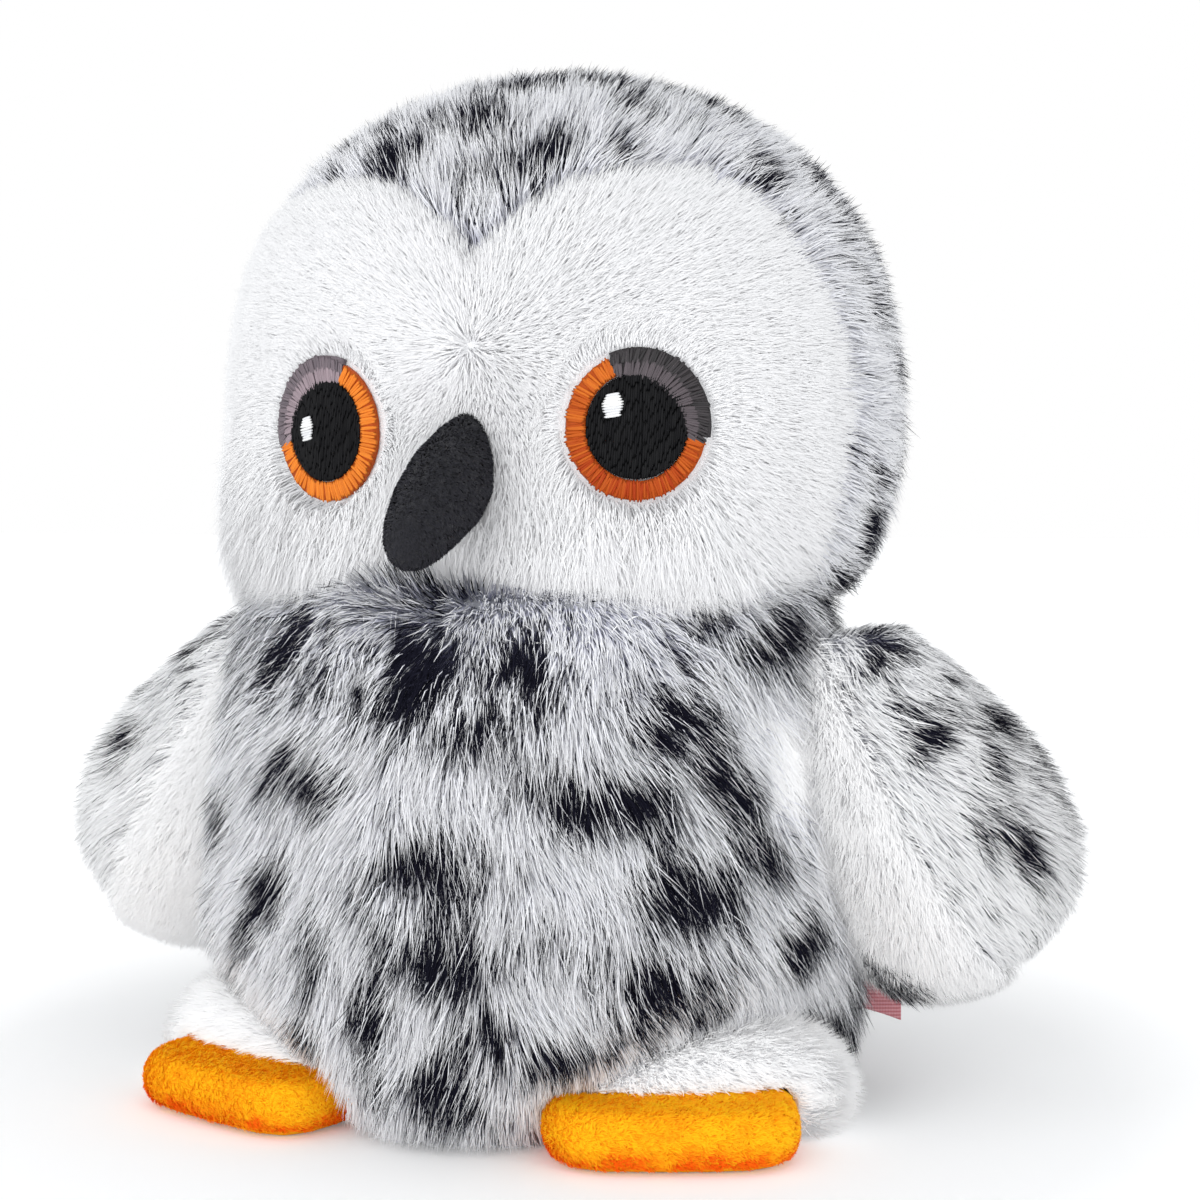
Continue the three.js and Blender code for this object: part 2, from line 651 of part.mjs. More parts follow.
// A toothed outline with one tooth centred on the given bearing
function gearOutline(x, z, teeth, bearing) {
  const pitch = (2 * Math.PI) / teeth;
  const pitchRadius = (TOOTH_MODULE * teeth) / 2;
  const shape = new THREE.Shape();
  for (let i = 0; i < teeth; i += 1) {
    for (const [share, height] of TOOTH_SHARES) {
      const angle = radians(bearing) + pitch * (i + share);
      const radius = pitchRadius + height * TOOTH_MODULE;
      const method = i === 0 && share === TOOTH_SHARES[0][0] ? 'moveTo' : 'lineTo';
      shape[method](x + radius * Math.cos(angle), z + radius * Math.sin(angle));
    }
  }
  return shape;
}

function makeCrankGear() {
  const wheel = plate(gearOutline(0, trainZ, WHEEL_TEETH, COMPOUND_BEARING), gearFront, gearRear);
  const web = GEAR_THICKNESS * 0.25;
  return wheel
    .add(bar(0, trainZ, AXLE_RADIUS + RUN + HUB_WALL, gearRear - web, plateFront - GAP))
    .add(bar(0, trainZ + crankRadius, CRANK_PIN_RADIUS, yokeRear + GAP, gearFront + web, 12))
    .subtract(bar(0, trainZ, AXLE_RADIUS + RUN, gearFront + web, plateFront));
}

function makeCompoundGear() {
  const halfTooth = 180 / PINION_TEETH;
  const small = plate(
    gearOutline(compoundX, compoundZ, PINION_TEETH, COMPOUND_BEARING + 180 + halfTooth),
    gearFront, gearRear,
  );
  const large = plate(
    gearOutline(compoundX, compoundZ, WHEEL_TEETH, MOTOR_BEARING), wheelFront, wheelRear,
  );
  const hub = AXLE_RADIUS + RUN + HUB_WALL;
  return small
    .add(large)
    .add(bar(compoundX, compoundZ, hub, gearRear - RUN, plateFront - GAP))
    .subtract(bar(compoundX, compoundZ, AXLE_RADIUS + RUN, yokeRear, plateRear));
}

function makePinion() {
  const halfTooth = 180 / PINION_TEETH;
  const gear = plate(
    gearOutline(motorX, motorZ, PINION_TEETH, MOTOR_BEARING + 180 + halfTooth),
    wheelFront, wheelRear,
  );
  return gear.add(bar(motorX, motorZ, MOTOR_SHAFT_RADIUS, wheelRear - RUN, plateRear, 16));
}

function makePlate() {
  const posts = [-POST_SPREAD, POST_SPREAD];
  let solid = caseHollow(plateFront, plateRear, GAP);
  for (const [x, z] of screwPlaces()) {
    solid = solid.subtract(bar(x, z, BOSS_RADIUS + GAP, plateFront - OVERRUN, plateRear + OVERRUN));
  }
  for (const x of posts) {
    solid = solid.add(bar(x, postZ, POST_RADIUS, yokeFront - RUN, plateFront + RUN, 12));
  }
  const holes = [
    [0, trainZ, AXLE_RADIUS], [compoundX, compoundZ, AXLE_RADIUS],
    [motorX, motorZ, MOTOR_SHAFT_RADIUS + RUN],
  ];
  for (const [x, z, radius] of holes) {
    solid = solid.subtract(bar(x, z, radius + GAP, plateFront - OVERRUN, plateRear + OVERRUN));
  }
  return largest(solid);
}

const wheelTip = (TOOTH_MODULE * WHEEL_TEETH) / 2 + TOOTH_MODULE;
const postZ = trainZ + wheelTip + POST_RADIUS + LAYER_GAP;

// The yoke: a bar that pushes both lever pins, and a stem with the crank's slot
function makeYoke() {
  const barHalf = YOKE_BAR_HEIGHT / 2;
  const tailX = pivotX - TAIL_LENGTH;
  const barReach = tailX + TAIL_PIN_RADIUS + CASE_WALL * 1.5;
  const slotZ = trainZ + crankRadius;
  const slotHalf = crankRadius + CRANK_PIN_RADIUS + GAP;
  let solid = box(-barReach, barReach, yokeFront, yokeRear, pivotZ - barHalf, pivotZ + barHalf)
    .add(box(
      -YOKE_STEM_HALF_WIDTH, YOKE_STEM_HALF_WIDTH, yokeFront, yokeRear,
      slotZ - CRANK_PIN_RADIUS - CASE_WALL * 1.5, pivotZ,
    ));
  const slot = (x0, x1, z0, z1, radius) => plate(
    roundedOutline(x0, x1, z0, z1, radius), yokeFront - OVERRUN, yokeRear + OVERRUN, 3,
  );
  const crankHalf = CRANK_PIN_RADIUS + GAP;
  solid = solid.subtract(slot(
    -slotHalf, slotHalf, slotZ - crankHalf, slotZ + crankHalf, crankHalf * 0.98,
  ));
  const pinHalf = TAIL_PIN_RADIUS + GAP;
  const slack = TAIL_LENGTH * (1 - Math.cos(radians(FLAP_RANGE)));
  const postHalf = POST_RADIUS + GAP;
  for (const side of [-1, 1]) {
    const pin = side * tailX;
    solid = solid.subtract(slot(
      pin - pinHalf - slack, pin + pinHalf + slack, pivotZ - pinHalf, pivotZ + pinHalf,
      pinHalf * 0.98,
    ));
    const post = side * POST_SPREAD;
    solid = solid.subtract(slot(
      post - postHalf, post + postHalf, postZ - postHalf, postZ + postHalf + yokeStroke,
      postHalf * 0.98,
    ));
  }
  return solid;
}

// Electronics

const boardRear = caseRear - CASE_WALL - BOARD_REAR_SPACE;
const boardFront = boardRear - BOARD_THICKNESS;
const boardHalf = CASE_HALF_WIDTH - SCREW_INSET - BOSS_RADIUS - GAP;
const boardBottom = caseBottom + BOARD_BOTTOM;
const boardTop = caseTop - CASE_WALL - BOSS_RADIUS;
const socketX = boardHalf / 2;
const socketZ = boardBottom + SOCKET_HEIGHT;
const ledX = socketX;
const ledZ = socketZ + SOCKET_HEIGHT + LED_RADIUS * 2;
const switchX = socketX;
const switchZ = ledZ + LED_RADIUS * 2 + SWITCH_HEIGHT;

function boardPosts() {
  const inset = POST_RADIUS * 2;
  const places = [];
  for (const x of [-boardHalf + inset, boardHalf - inset]) {
    places.push([x, boardBottom + inset], [x, boardTop - inset]);
  }
  return places;
}

function socketForm(grow, rear) {
  const half = SOCKET_WIDTH / 2 + grow;
  const halfHeight = SOCKET_HEIGHT / 2 + grow;
  return plate(
    roundedOutline(
      socketX - half, socketX + half, socketZ - halfHeight, socketZ + halfHeight,
      halfHeight * 0.98,
    ), boardRear + GAP, rear, 4,
  );
}

function makeSocket() {
  const shell = socketForm(0, caseRear - GAP);
  const half = SOCKET_WIDTH / 2 - SOCKET_WALL;
  const halfHeight = SOCKET_HEIGHT / 2 - SOCKET_WALL;
  const mouth = plate(
    roundedOutline(
      socketX - half, socketX + half, socketZ - halfHeight, socketZ + halfHeight,
      halfHeight * 0.98,
    ), boardRear + CASE_WALL, caseRear, 4,
  );
  const tongue = box(
    socketX - half + SOCKET_WALL * 2, socketX + half - SOCKET_WALL * 2, boardRear + CASE_WALL / 2,
    caseRear - CASE_WALL, socketZ - SOCKET_WALL / 2, socketZ + SOCKET_WALL / 2,
  );
  return shell.subtract(mouth).add(tongue);
}

// The knob starts at one end of its slot and slides towards +X
const knobX = switchX - KNOB_TRAVEL / 2;

function knobSlot(rear) {
  const half = KNOB_WIDTH / 2 + GAP;
  return box(
    knobX - half, knobX + KNOB_TRAVEL + half, boardRear + CASE_WALL, rear,
    switchZ - half, switchZ + half,
  );
}

function makeSwitch() {
  return box(
    switchX - SWITCH_WIDTH / 2, switchX + SWITCH_WIDTH / 2, boardRear + GAP,
    caseRear - CASE_WALL - GAP, switchZ - SWITCH_HEIGHT / 2, switchZ + SWITCH_HEIGHT / 2,
  ).subtract(knobSlot(caseRear));
}

function makeKnob() {
  const half = KNOB_WIDTH / 2;
  return box(
    knobX - half, knobX + half, boardRear + CASE_WALL + GAP, caseRear + KNOB_PROUD,
    switchZ - half, switchZ + half,
  );
}

function makeLed() {
  const body = bar(ledX, ledZ, LED_RADIUS, boardRear + GAP, caseRear - CASE_WALL, 12);
  const geometry = new THREE.SphereGeometry(LED_RADIUS, 12, 6);
  geometry.translate(ledX, caseRear - CASE_WALL, ledZ);
  return body.add(solidOf(geometry));
}

const speakerX = -(CASE_HALF_WIDTH - CASE_WALL) / 2;
const speakerZ = caseBottom + CASE_WALL + SPEAKER_RADIUS + GAP;
const speakerRear = caseRear - CASE_WALL - GAP;

function makeSpeaker() {
  const profile = [
    [0, 0], [SPEAKER_RADIUS * 0.5, 0], [SPEAKER_RADIUS * 0.55, SPEAKER_THICKNESS * 0.5],
    [SPEAKER_RADIUS, SPEAKER_THICKNESS * 0.6], [SPEAKER_RADIUS, SPEAKER_THICKNESS],
    [SPEAKER_RADIUS * 0.88, SPEAKER_THICKNESS], [SPEAKER_RADIUS * 0.7, SPEAKER_THICKNESS * 0.8],
    [SPEAKER_RADIUS * 0.35, SPEAKER_THICKNESS * 0.75], [0, SPEAKER_THICKNESS * 0.85],
  ].map(([radius, y]) => new THREE.Vector2(radius, y));
  const geometry = new THREE.LatheGeometry(profile, 18);
  geometry.translate(speakerX, speakerRear - SPEAKER_THICKNESS, speakerZ);
  return solidOf(geometry);
}

function speakerHoles() {
  const holes = [];
  for (let i = 0; i < 7; i += 1) {
    const out = i === 0 ? 0 : SPEAKER_RADIUS * 0.5;
    const angle = (Math.PI * i) / 3;
    holes.push(bar(
      speakerX + out * Math.cos(angle), speakerZ + out * Math.sin(angle), POST_RADIUS,
      speakerRear - GAP, caseRear + OVERRUN, 8,
    ));
  }
  return holes.reduce((all, hole) => all.add(hole));
}

function makeScrew(x, z) {
  const tip = caseRear - SCREW_HEAD_HEIGHT - SCREW_LENGTH;
  const seat = caseRear - SCREW_HEAD_HEIGHT;
  const profile = [
    [0, tip], [SCREW_RADIUS, tip + SCREW_RADIUS], [SCREW_RADIUS, seat],
    [SCREW_HEAD_RADIUS, seat], [SCREW_HEAD_RADIUS, caseRear - RUN * 3],
    [SCREW_HEAD_RADIUS * 0.8, caseRear - RUN], [0, caseRear - RUN],
  ].map(([radius, y]) => new THREE.Vector2(radius, y));
  const geometry = new THREE.LatheGeometry(profile, 12);
  geometry.translate(x, 0, z);
  const slot = box(
    x - SCREW_HEAD_RADIUS * 0.6, x + SCREW_HEAD_RADIUS * 0.6, seat + SCREW_HEAD_HEIGHT / 2,
    caseRear, z - GAP, z + GAP,
  );
  return solidOf(geometry).subtract(slot).subtract(slot.translate([-x, 0, -z])
    .rotate([0, 90, 0]).translate([x, 0, z]));
}

// Pocket flap and its strips: layers of cloth that follow the body's back

function backLayer(inner, outer, halfWidth, bottom, top) {
  const window = box(
    -halfWidth, halfWidth, 0, BODY_HALF_DEPTH + outer + OVERRUN, bottom, top,
  );
  return bodyForm(outer).subtract(bodyForm(inner)).intersect(window);
}

const stripRise = GAP + STRIP_THICKNESS;
const flapInner = 2 * stripRise + GAP;

// The label leaves the side seam between two thicknesses of cloth
function makeLabel() {
  const share = (LABEL_HEIGHT + LABEL_WIDTH / 2) / BODY_HEIGHT;
  const ring = bodyRings.find((one) => one.z >= share);
  const side = ring.a * BODY_HALF_WIDTH;
  return box(
    side - LABEL_LENGTH / 2, side + LABEL_LENGTH, -LABEL_THICKNESS / 2, LABEL_THICKNESS / 2,
    LABEL_HEIGHT, LABEL_HEIGHT + LABEL_WIDTH,
  )
    .rotate([0, 0, LABEL_BEARING])
    .subtract(bodyForm(GAP));
}

// Finishes

const finish = (color, roughness, metalness = 0) => ({ color, roughness, metalness });
const FINISHES = {
  ownFur: finish(0xd9dade, 0.95),
  whiteFur: finish(0xf6f6f7, 0.95),
  beakSuede: finish(0x33343a, 0.9),
  pupilThread: finish(0x141416, 0.5),
  irisThread: finish(0xc9541d, 0.45),
  lidThread: finish(0x5d5459, 0.5),
  glintThread: finish(0xf4f4f2, 0.5),
  footFelt: finish(0xf7930f, 0.95),
  labelCloth: finish(0xc9384a, 0.8),
  stripNylon: finish(0xe8e8ea, 0.8),
  casePlastic: finish(0xeceef0, 0.45),
  drivePlastic: finish(0xf2f0e4, 0.4),
  leverPlastic: finish(0x2b2d31, 0.45),
  steel: finish(0xb9bcc0, 0.3, 1),
  boardResin: finish(0x1c6b3c, 0.5),
  cellWrap: finish(0xb8bec6, 0.35, 0.6),
  chipResin: finish(0x18181a, 0.5),
  lampPlastic: finish(0xf2f5ff, 0.2),
};

// Assembly

const owl = new THREE.Group();

function place(name, solid, finishName) {
  const mesh = new THREE.Mesh(
    geometryOf(solid), new THREE.MeshStandardMaterial(FINISHES[finishName]),
  );
  mesh.name = name;
  owl.add(mesh);
}

const body = makeBody();
place('body', body, 'ownFur');
place('head', headForm(), 'ownFur');
place('face', makeFace(), 'whiteFur');
place('beak', makeBeak(), 'beakSuede');

const wing = makeWing();
const lining = makeLining();
const lever = makeLever();
const patchFinishes = {
  pupil: 'pupilThread', iris: 'irisThread', eyelid: 'lidThread', highlight: 'glintThread',
};
const foot = footForm();
const bodyCut = bodyForm(GAP);

for (const [name, side] of [['left', 1], ['right', -1]]) {
  const patches = makeEye(name, side);
  for (const [patch, solid] of Object.entries(patches)) {
    place(`eye_${name}_${patch}`, solid, patchFinishes[patch]);
  }
  const placedFoot = placeLeg(foot, side).subtract(bodyCut);
  const footCut = placeLeg(footForm(GAP), side);
  place(`foot_${name}`, largest(placedFoot), 'footFelt');
  const cuff = placeLeg(cuffForm(), side).subtract(bodyCut).subtract(footCut);
  place(`cuff_${name}`, largest(cuff), 'whiteFur');
  const hand = (solid) => (side > 0 ? solid : solid.mirror([1, 0, 0]));
  place(`wing_${name}_pad`, hand(wing), 'ownFur');
  place(`wing_${name}_lining`, hand(lining), 'whiteFur');
  place(`wing_${name}_lever`, hand(lever), 'leverPlastic');
}

place('pocket_flap', backLayer(
  flapInner, flapInner + FLAP_THICKNESS, FLAP_HALF_WIDTH, FLAP_BOTTOM, BODY_HEIGHT - FLAP_DROP,
), 'ownFur');
const stripBottom = FLAP_BOTTOM + STRIP_HEIGHT * 0.1;
place('loop_strip', backLayer(
  GAP, stripRise, STRIP_HALF_WIDTH, stripBottom, stripBottom + STRIP_HEIGHT,
), 'stripNylon');
place('hook_strip', backLayer(
  stripRise + GAP, 2 * stripRise, STRIP_HALF_WIDTH, stripBottom, stripBottom + STRIP_HEIGHT,
), 'stripNylon');
place('seam_label', makeLabel(), 'labelCloth');

place('module_case_front', makeCaseFront(), 'casePlastic');
place('module_case_rear', makeCaseRear(), 'casePlastic');
screwPlaces().forEach(([x, z], i) => place(`case_screw_${i + 1}`, makeScrew(x, z), 'steel'));
place('gear_plate', makePlate(), 'drivePlastic');
place('yoke', makeYoke(), 'drivePlastic');
place('crank_gear', makeCrankGear(), 'drivePlastic');
place('crank_axle', bar(
  0, trainZ, AXLE_RADIUS, gearFront + GEAR_THICKNESS * 0.25 + GAP, plateRear,
), 'steel');
place('compound_gear', makeCompoundGear(), 'drivePlastic');
place('compound_axle', bar(
  compoundX, compoundZ, AXLE_RADIUS, gearFront - GAP, plateRear,
), 'steel');
place('motor_pinion', makePinion(), 'steel');
place('motor', bar(
  motorX, motorZ, MOTOR_RADIUS, plateRear + GAP, plateRear + GAP + MOTOR_LENGTH, 20,
), 'steel');

const cellLeft = -CASE_HALF_WIDTH + CASE_WALL + GAP;
const cellBottom = boardBottom;
place('battery', plate(
  roundedOutline(
    cellLeft, cellLeft + BATTERY_WIDTH, cellBottom, caseTop - CASE_WALL - BATTERY_CLEARANCE,
    CASE_WALL,
  ), plateRear + GAP, plateRear + GAP + BATTERY_THICKNESS, 3,
), 'cellWrap');
place('circuit_board', box(
  -boardHalf, boardHalf, boardFront, boardRear, boardBottom, boardTop,
), 'boardResin');
place('speaker', makeSpeaker(), 'chipResin');
place('charging_socket', makeSocket(), 'steel');
place('power_switch', makeSwitch(), 'chipResin');
place('switch_knob', makeKnob(), 'chipResin');
place('power_led', makeLed(), 'lampPlastic');
place('control_chip', box(
  -socketX - CHIP_SIZE / 2, -socketX + CHIP_SIZE / 2, boardRear + GAP,
  boardRear + GAP + CHIP_THICKNESS, switchZ - CHIP_SIZE / 2, switchZ + CHIP_SIZE / 2,
), 'chipResin');
place('vibration_sensor', bar(
  0, 0, SENSOR_RADIUS, -SENSOR_LENGTH / 2, SENSOR_LENGTH / 2, 16,
).rotate([0, 0, 90]).translate([
  -socketX, boardRear + GAP + SENSOR_RADIUS, socketZ + SENSOR_RADIUS + LAYER_GAP,
]), 'steel');

export default owl;
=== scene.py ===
# %% [markdown]
# # A plush snowy owl, dressed over its CAD frame
# The imported CAD model gives every piece's place. The stuffed forms in it are bare, so this
# lesson gives them skins, pile and stitching, and gives the moulded pieces their finishes.
# The frame is loaded first.

# %% Load the frame
import json
import math

import bpy
import numpy as np
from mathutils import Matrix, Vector, kdtree, noise as noise_field
from mathutils.bvhtree import BVHTree


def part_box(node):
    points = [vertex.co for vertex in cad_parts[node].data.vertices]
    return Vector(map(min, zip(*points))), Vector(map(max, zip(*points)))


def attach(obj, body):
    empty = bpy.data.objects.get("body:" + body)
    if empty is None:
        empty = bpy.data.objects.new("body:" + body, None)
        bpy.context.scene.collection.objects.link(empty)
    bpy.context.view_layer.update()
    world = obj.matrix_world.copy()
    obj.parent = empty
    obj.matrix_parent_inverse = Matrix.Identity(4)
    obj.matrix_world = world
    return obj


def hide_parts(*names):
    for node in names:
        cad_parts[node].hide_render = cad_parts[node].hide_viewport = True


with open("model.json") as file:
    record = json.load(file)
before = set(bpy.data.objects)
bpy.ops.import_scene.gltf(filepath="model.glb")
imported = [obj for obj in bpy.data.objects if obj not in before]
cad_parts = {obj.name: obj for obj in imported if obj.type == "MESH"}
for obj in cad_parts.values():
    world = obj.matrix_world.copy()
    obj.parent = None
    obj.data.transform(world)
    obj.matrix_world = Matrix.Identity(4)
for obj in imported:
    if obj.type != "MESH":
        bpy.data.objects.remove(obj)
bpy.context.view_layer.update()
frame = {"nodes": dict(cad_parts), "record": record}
nodes = frame["nodes"]
MM = 0.001
SIDES = {"left": 1, "right": -1}
bpy.ops.object.select_all(action="DESELECT")

# %% [markdown]
# ## Camera
# The owl is seen a little from its left, from just above its middle, through a short
# telephoto lens. The lens shift only centres the picture as the photograph does.

# %% Camera
CAMERA_AZIMUTH = math.radians(19)
CAMERA_DISTANCE = 340 * MM
CAMERA_HEIGHT = 95 * MM
AIM_HEIGHT = 79.5 * MM
LENS_MM = 60.7
AXIS_OFFSET = 67 / 1200  # how far left of the picture's middle the owl's axis falls

camera = bpy.data.objects.new("camera", bpy.data.cameras.new("camera"))
bpy.context.scene.collection.objects.link(camera)
camera.location = (
    CAMERA_DISTANCE * math.sin(CAMERA_AZIMUTH),
    -CAMERA_DISTANCE * math.cos(CAMERA_AZIMUTH),
    CAMERA_HEIGHT,
)
toward = Vector((0, 0, AIM_HEIGHT)) - camera.location
camera.rotation_euler = toward.to_track_quat("-Z", "Y").to_euler()
camera.data.lens = LENS_MM
camera.data.sensor_width = 36
camera.data.shift_x = AXIS_OFFSET
camera.data.clip_start = 0.01
bpy.context.scene.camera = camera
print("camera", [round(c, 4) for c in camera.location])

# %% [markdown]
# ## Light and floor
# Soft light from all round, a broad key lamp from the upper left, one from the front and
# one from the right. The floor and the world show plain white to the camera, and the floor
# keeps the owl's soft shadow, deepened by painted shade: near the owl the floor glows less
# to the camera. A material or a world is a tree of nodes, so one helper adds
# a node with its settings and links it to what feeds it.

# %% Node helper
def add(tree, kind, values=None, links=None, **settings):
    """A new node, with the values of some of its inputs and what feeds the others."""
    node = tree.nodes.new("ShaderNode" + kind)
    for key, value in settings.items():
        setattr(node, key, value)
    for key, value in (values or {}).items():
        node.inputs[key].default_value = value
    for key, source in (links or {}).items():
        tree.links.new(source, node.inputs[key])
    return node


# %% World
KEY_POWER = 0.32
FRONT_POWER = 1.06
FILL_POWER = 0.78
AMBIENT = 0.85

world = bpy.data.worlds.new("studio")
bpy.context.scene.world = world
world.use_nodes = True
tree = world.node_tree
tree.nodes.clear()
rays = add(tree, "LightPath").outputs
bent = add(tree, "Math", operation="MAXIMUM",
           links={0: rays["Is Glossy Ray"], 1: rays["Is Transmission Ray"]})
seen = add(tree, "Math", operation="MAXIMUM",
           links={0: rays["Is Camera Ray"], 1: bent.outputs[0]})
plain = add(tree, "Background", {"Color": (0.97, 0.985, 1, 1), "Strength": AMBIENT})
white = add(tree, "Background", {"Color": (1, 1, 1, 1), "Strength": 1})
mix = add(tree, "MixShader", links={0: seen.outputs[0], 1: plain.outputs[0], 2: white.outputs[0]})
add(tree, "OutputWorld", links={0: mix.outputs[0]})
print("world nodes", len(tree.nodes))

# %% Lamps
def lamp(name, place, power, size):
    """A square area lamp that faces the middle of the owl."""
    data = bpy.data.lights.new(name, "AREA")
    data.energy = power
    data.size = size
    light = bpy.data.objects.new(name, data)
    bpy.context.scene.collection.objects.link(light)
    light.location = place
    aim = Vector((0, 0, AIM_HEIGHT)) - light.location
    light.rotation_euler = aim.to_track_quat("-Z", "Y").to_euler()


lamp("key", (-0.38, -0.42, 0.62), KEY_POWER, 0.35)
lamp("front", (-0.12, -0.60, 0.16), FRONT_POWER, 0.30)
lamp("fill", (0.52, -0.30, 0.12), FILL_POWER, 0.40)
print("lamps", len(bpy.data.lights))

# %% Floor
# painted shade: the floor's glow for the camera is lower within these radii, so the floor darkens round the
# owl
SHADOW_RADIUS = (0.095, 0.155)  # from the owl's axis, where the shadow starts and ends to fade
SHADOW_LIFT = (0.13, 0.36)  # what is added to the floor's white, within and beyond them

bpy.ops.mesh.primitive_plane_add(size=12)
floor = bpy.context.object
floor.name = "floor"
floor_material = bpy.data.materials.new("floor_white")
floor_material.use_nodes = True
tree = floor_material.node_tree
shader = tree.nodes["Principled BSDF"]
shader.inputs["Base Color"].default_value = (0.96, 0.96, 0.962, 1)
shader.inputs["Roughness"].default_value = 0.9
shader.inputs["Specular IOR Level"].default_value = 0.05
shader.inputs["Emission Color"].default_value = (1, 1, 1, 1)
place = add(tree, "TexCoord").outputs["Object"]
distance = add(tree, "VectorMath", links={0: place}, operation="LENGTH").outputs["Value"]
spread = add(tree, "MapRange", {
    "From Min": SHADOW_RADIUS[0], "From Max": SHADOW_RADIUS[1],
    "To Min": SHADOW_LIFT[0], "To Max": SHADOW_LIFT[1],
}, {"Value": distance})
rays = add(tree, "LightPath").outputs
lift = add(tree, "Math", operation="MULTIPLY",
           links={0: rays["Is Camera Ray"], 1: spread.outputs["Result"]})
tree.links.new(lift.outputs[0], shader.inputs["Emission Strength"])
floor.data.materials.append(floor_material)
bpy.ops.object.select_all(action="DESELECT")
print("floor nodes", len(tree.nodes))

# %% [markdown]
# ## Node materials
# Every finish is a small tree of nodes over the Principled shader. One helper starts a
# material with its plain values, and others add colour variation and bump in the object's
# own coordinates.

# %% Material helpers
def material(name, color, roughness, specular=0.3, metallic=0.0, sheen=0.0):
    """A material with plain values on its shader's own sockets."""
    made = bpy.data.materials.new(name)
    made.use_nodes = True
    shader = made.node_tree.nodes["Principled BSDF"]
    shader.inputs["Base Color"].default_value = (*color, 1)
    shader.inputs["Roughness"].default_value = roughness
    shader.inputs["Specular IOR Level"].default_value = specular
    shader.inputs["Metallic"].default_value = metallic
    shader.inputs["Sheen Weight"].default_value = sheen
    made.diffuse_color = (*color, 1)
    return made


def feed(made, socket, output):
    """Links a value to one of the shader's sockets."""
    shader = made.node_tree.nodes["Principled BSDF"]
    made.node_tree.links.new(output, shader.inputs[socket])


def noise(made, scale, detail=3.0, stretch=(1, 1, 1)):
    """A noise over the object's coordinates."""
    tree = made.node_tree
    place = add(tree, "TexCoord").outputs["Object"]
    turned = add(tree, "Mapping", {"Scale": stretch}, {"Vector": place}).outputs["Vector"]
    return add(tree, "TexNoise", {"Scale": scale, "Detail": detail}, {"Vector": turned}).outputs["Fac"]


def wave(made, scale, direction, distortion=0.0):
    """Bands across one direction of the object's coordinates."""
    tree = made.node_tree
    place = add(tree, "TexCoord").outputs["Object"]
    values = {"Scale": scale, "Distortion": distortion}
    return add(tree, "TexWave", values, {"Vector": place}, bands_direction=direction).outputs["Fac"]


def mean(made, one, other):
    """The mean of two values."""
    tree = made.node_tree
    halved = add(tree, "Math", {1: 0.5}, {0: other}, operation="MULTIPLY").outputs[0]
    return add(tree, "Math", {1: 0.5}, {0: one, 2: halved}, operation="MULTIPLY_ADD").outputs[0]


def ramp(made, source, stops):
    """Colours along a value, from (place, colour) stops."""
    node = add(made.node_tree, "ValToRGB", links={"Fac": source})
    elements = node.color_ramp.elements
    while len(elements) < len(stops):
        elements.new(1)
    for element, (place, color) in zip(elements, stops):
        element.position = place
        element.color = (*color, 1)
    return node.outputs["Color"]


def paint(made, source, stops):
    """Paints the surface with colours along a value."""
    feed(made, "Base Color", ramp(made, source, stops))


def rough(made, source, low, high):
    """Roughness from low to high along a value."""
    node = add(made.node_tree, "MapRange", {"To Min": low, "To Max": high}, {"Value": source})
    feed(made, "Roughness", node.outputs["Result"])


def bump(made, source, height):
    """Raises the surface along a value, by height in metres."""
    node = add(made.node_tree, "Bump", {"Distance": height, "Strength": 1}, {"Height": source})
    feed(made, "Normal", node.outputs["Normal"])


# %% [markdown]
# ## Pile colours
# Each strand of pile carries a tiny patch of a UV map: across it lies the strand's tone,
# from white to black, and up it lies the way from root to tip. The material paints roots
# greyer than tips, as light is lost deep in a pile, and black strands are dyed only from a
# third of their length up.

# %% Pile materials
PILE_MAP = "OFBake"


def pile_map(made):
    """The two values of the pile map: X is the tone, and Y goes from root to tip."""
    uv = add(made.node_tree, "UVMap", uv_map=PILE_MAP)
    return add(made.node_tree, "SeparateXYZ", links={"Vector": uv.outputs["UV"]}).outputs


def pile_material(name, light_stops, dark_stops, glow=0.0):
    """Pile; glow is painted light: an emission that stands for the light that fine pale fibres pass on to
    each other.
    """
    made = material(name, light_stops[-1][1], 0.8, specular=0.06)
    shader = made.node_tree.nodes["Principled BSDF"]
    shader.inputs["Emission Strength"].default_value = glow
    where = pile_map(made)
    light = ramp(made, where["Y"], light_stops)
    dark = ramp(made, where["Y"], dark_stops)
    share = ramp(made, where["X"], [(0, (0, 0, 0)), (0.5, (0.4, 0.4, 0.4)), (0.84, (1, 1, 1))])
    blend = add(made.node_tree, "Mix", links={0: share, 6: light, 7: dark}, data_type="RGBA")
    feed(made, "Base Color", blend.outputs[2])
    feed(made, "Emission Color", blend.outputs[2])
    return made


BLACK_STOPS = [
    (0.0, (0.34, 0.35, 0.46)),
    (0.22, (0.085, 0.085, 0.14)),
    (0.5, (0.007, 0.007, 0.014)),
    (1.0, (0.010, 0.010, 0.020)),
]
# In the pale stops below, the greyer, bluer roots are painted shade, for the light lost deep in a pile.
WHITE_STOPS = [(0.0, (0.93, 0.93, 0.945)), (0.5, (0.975, 0.975, 0.98)), (1.0, (0.99, 0.99, 0.99))]
CREAM_STOPS = [(0.0, (0.84, 0.845, 0.87)), (0.5, (0.90, 0.905, 0.925)), (1.0, (0.95, 0.95, 0.96))]
OWL_STOPS = [
    (0.0, (0.50, 0.51, 0.66)),
    (0.3, (0.80, 0.81, 0.91)),
    (0.6, (0.95, 0.955, 0.985)),
    (1.0, (0.98, 0.98, 0.99)),
]
WING_STOPS = [
    (0.0, (0.72, 0.73, 0.79)),
    (0.3, (0.90, 0.905, 0.93)),
    (0.6, (0.97, 0.972, 0.98)),
    (1.0, (0.99, 0.99, 0.99)),
]
FACE_STOPS = [(0.0, (0.90, 0.90, 0.915)), (0.5, (0.93, 0.93, 0.94)), (1.0, (0.945, 0.945, 0.95))]
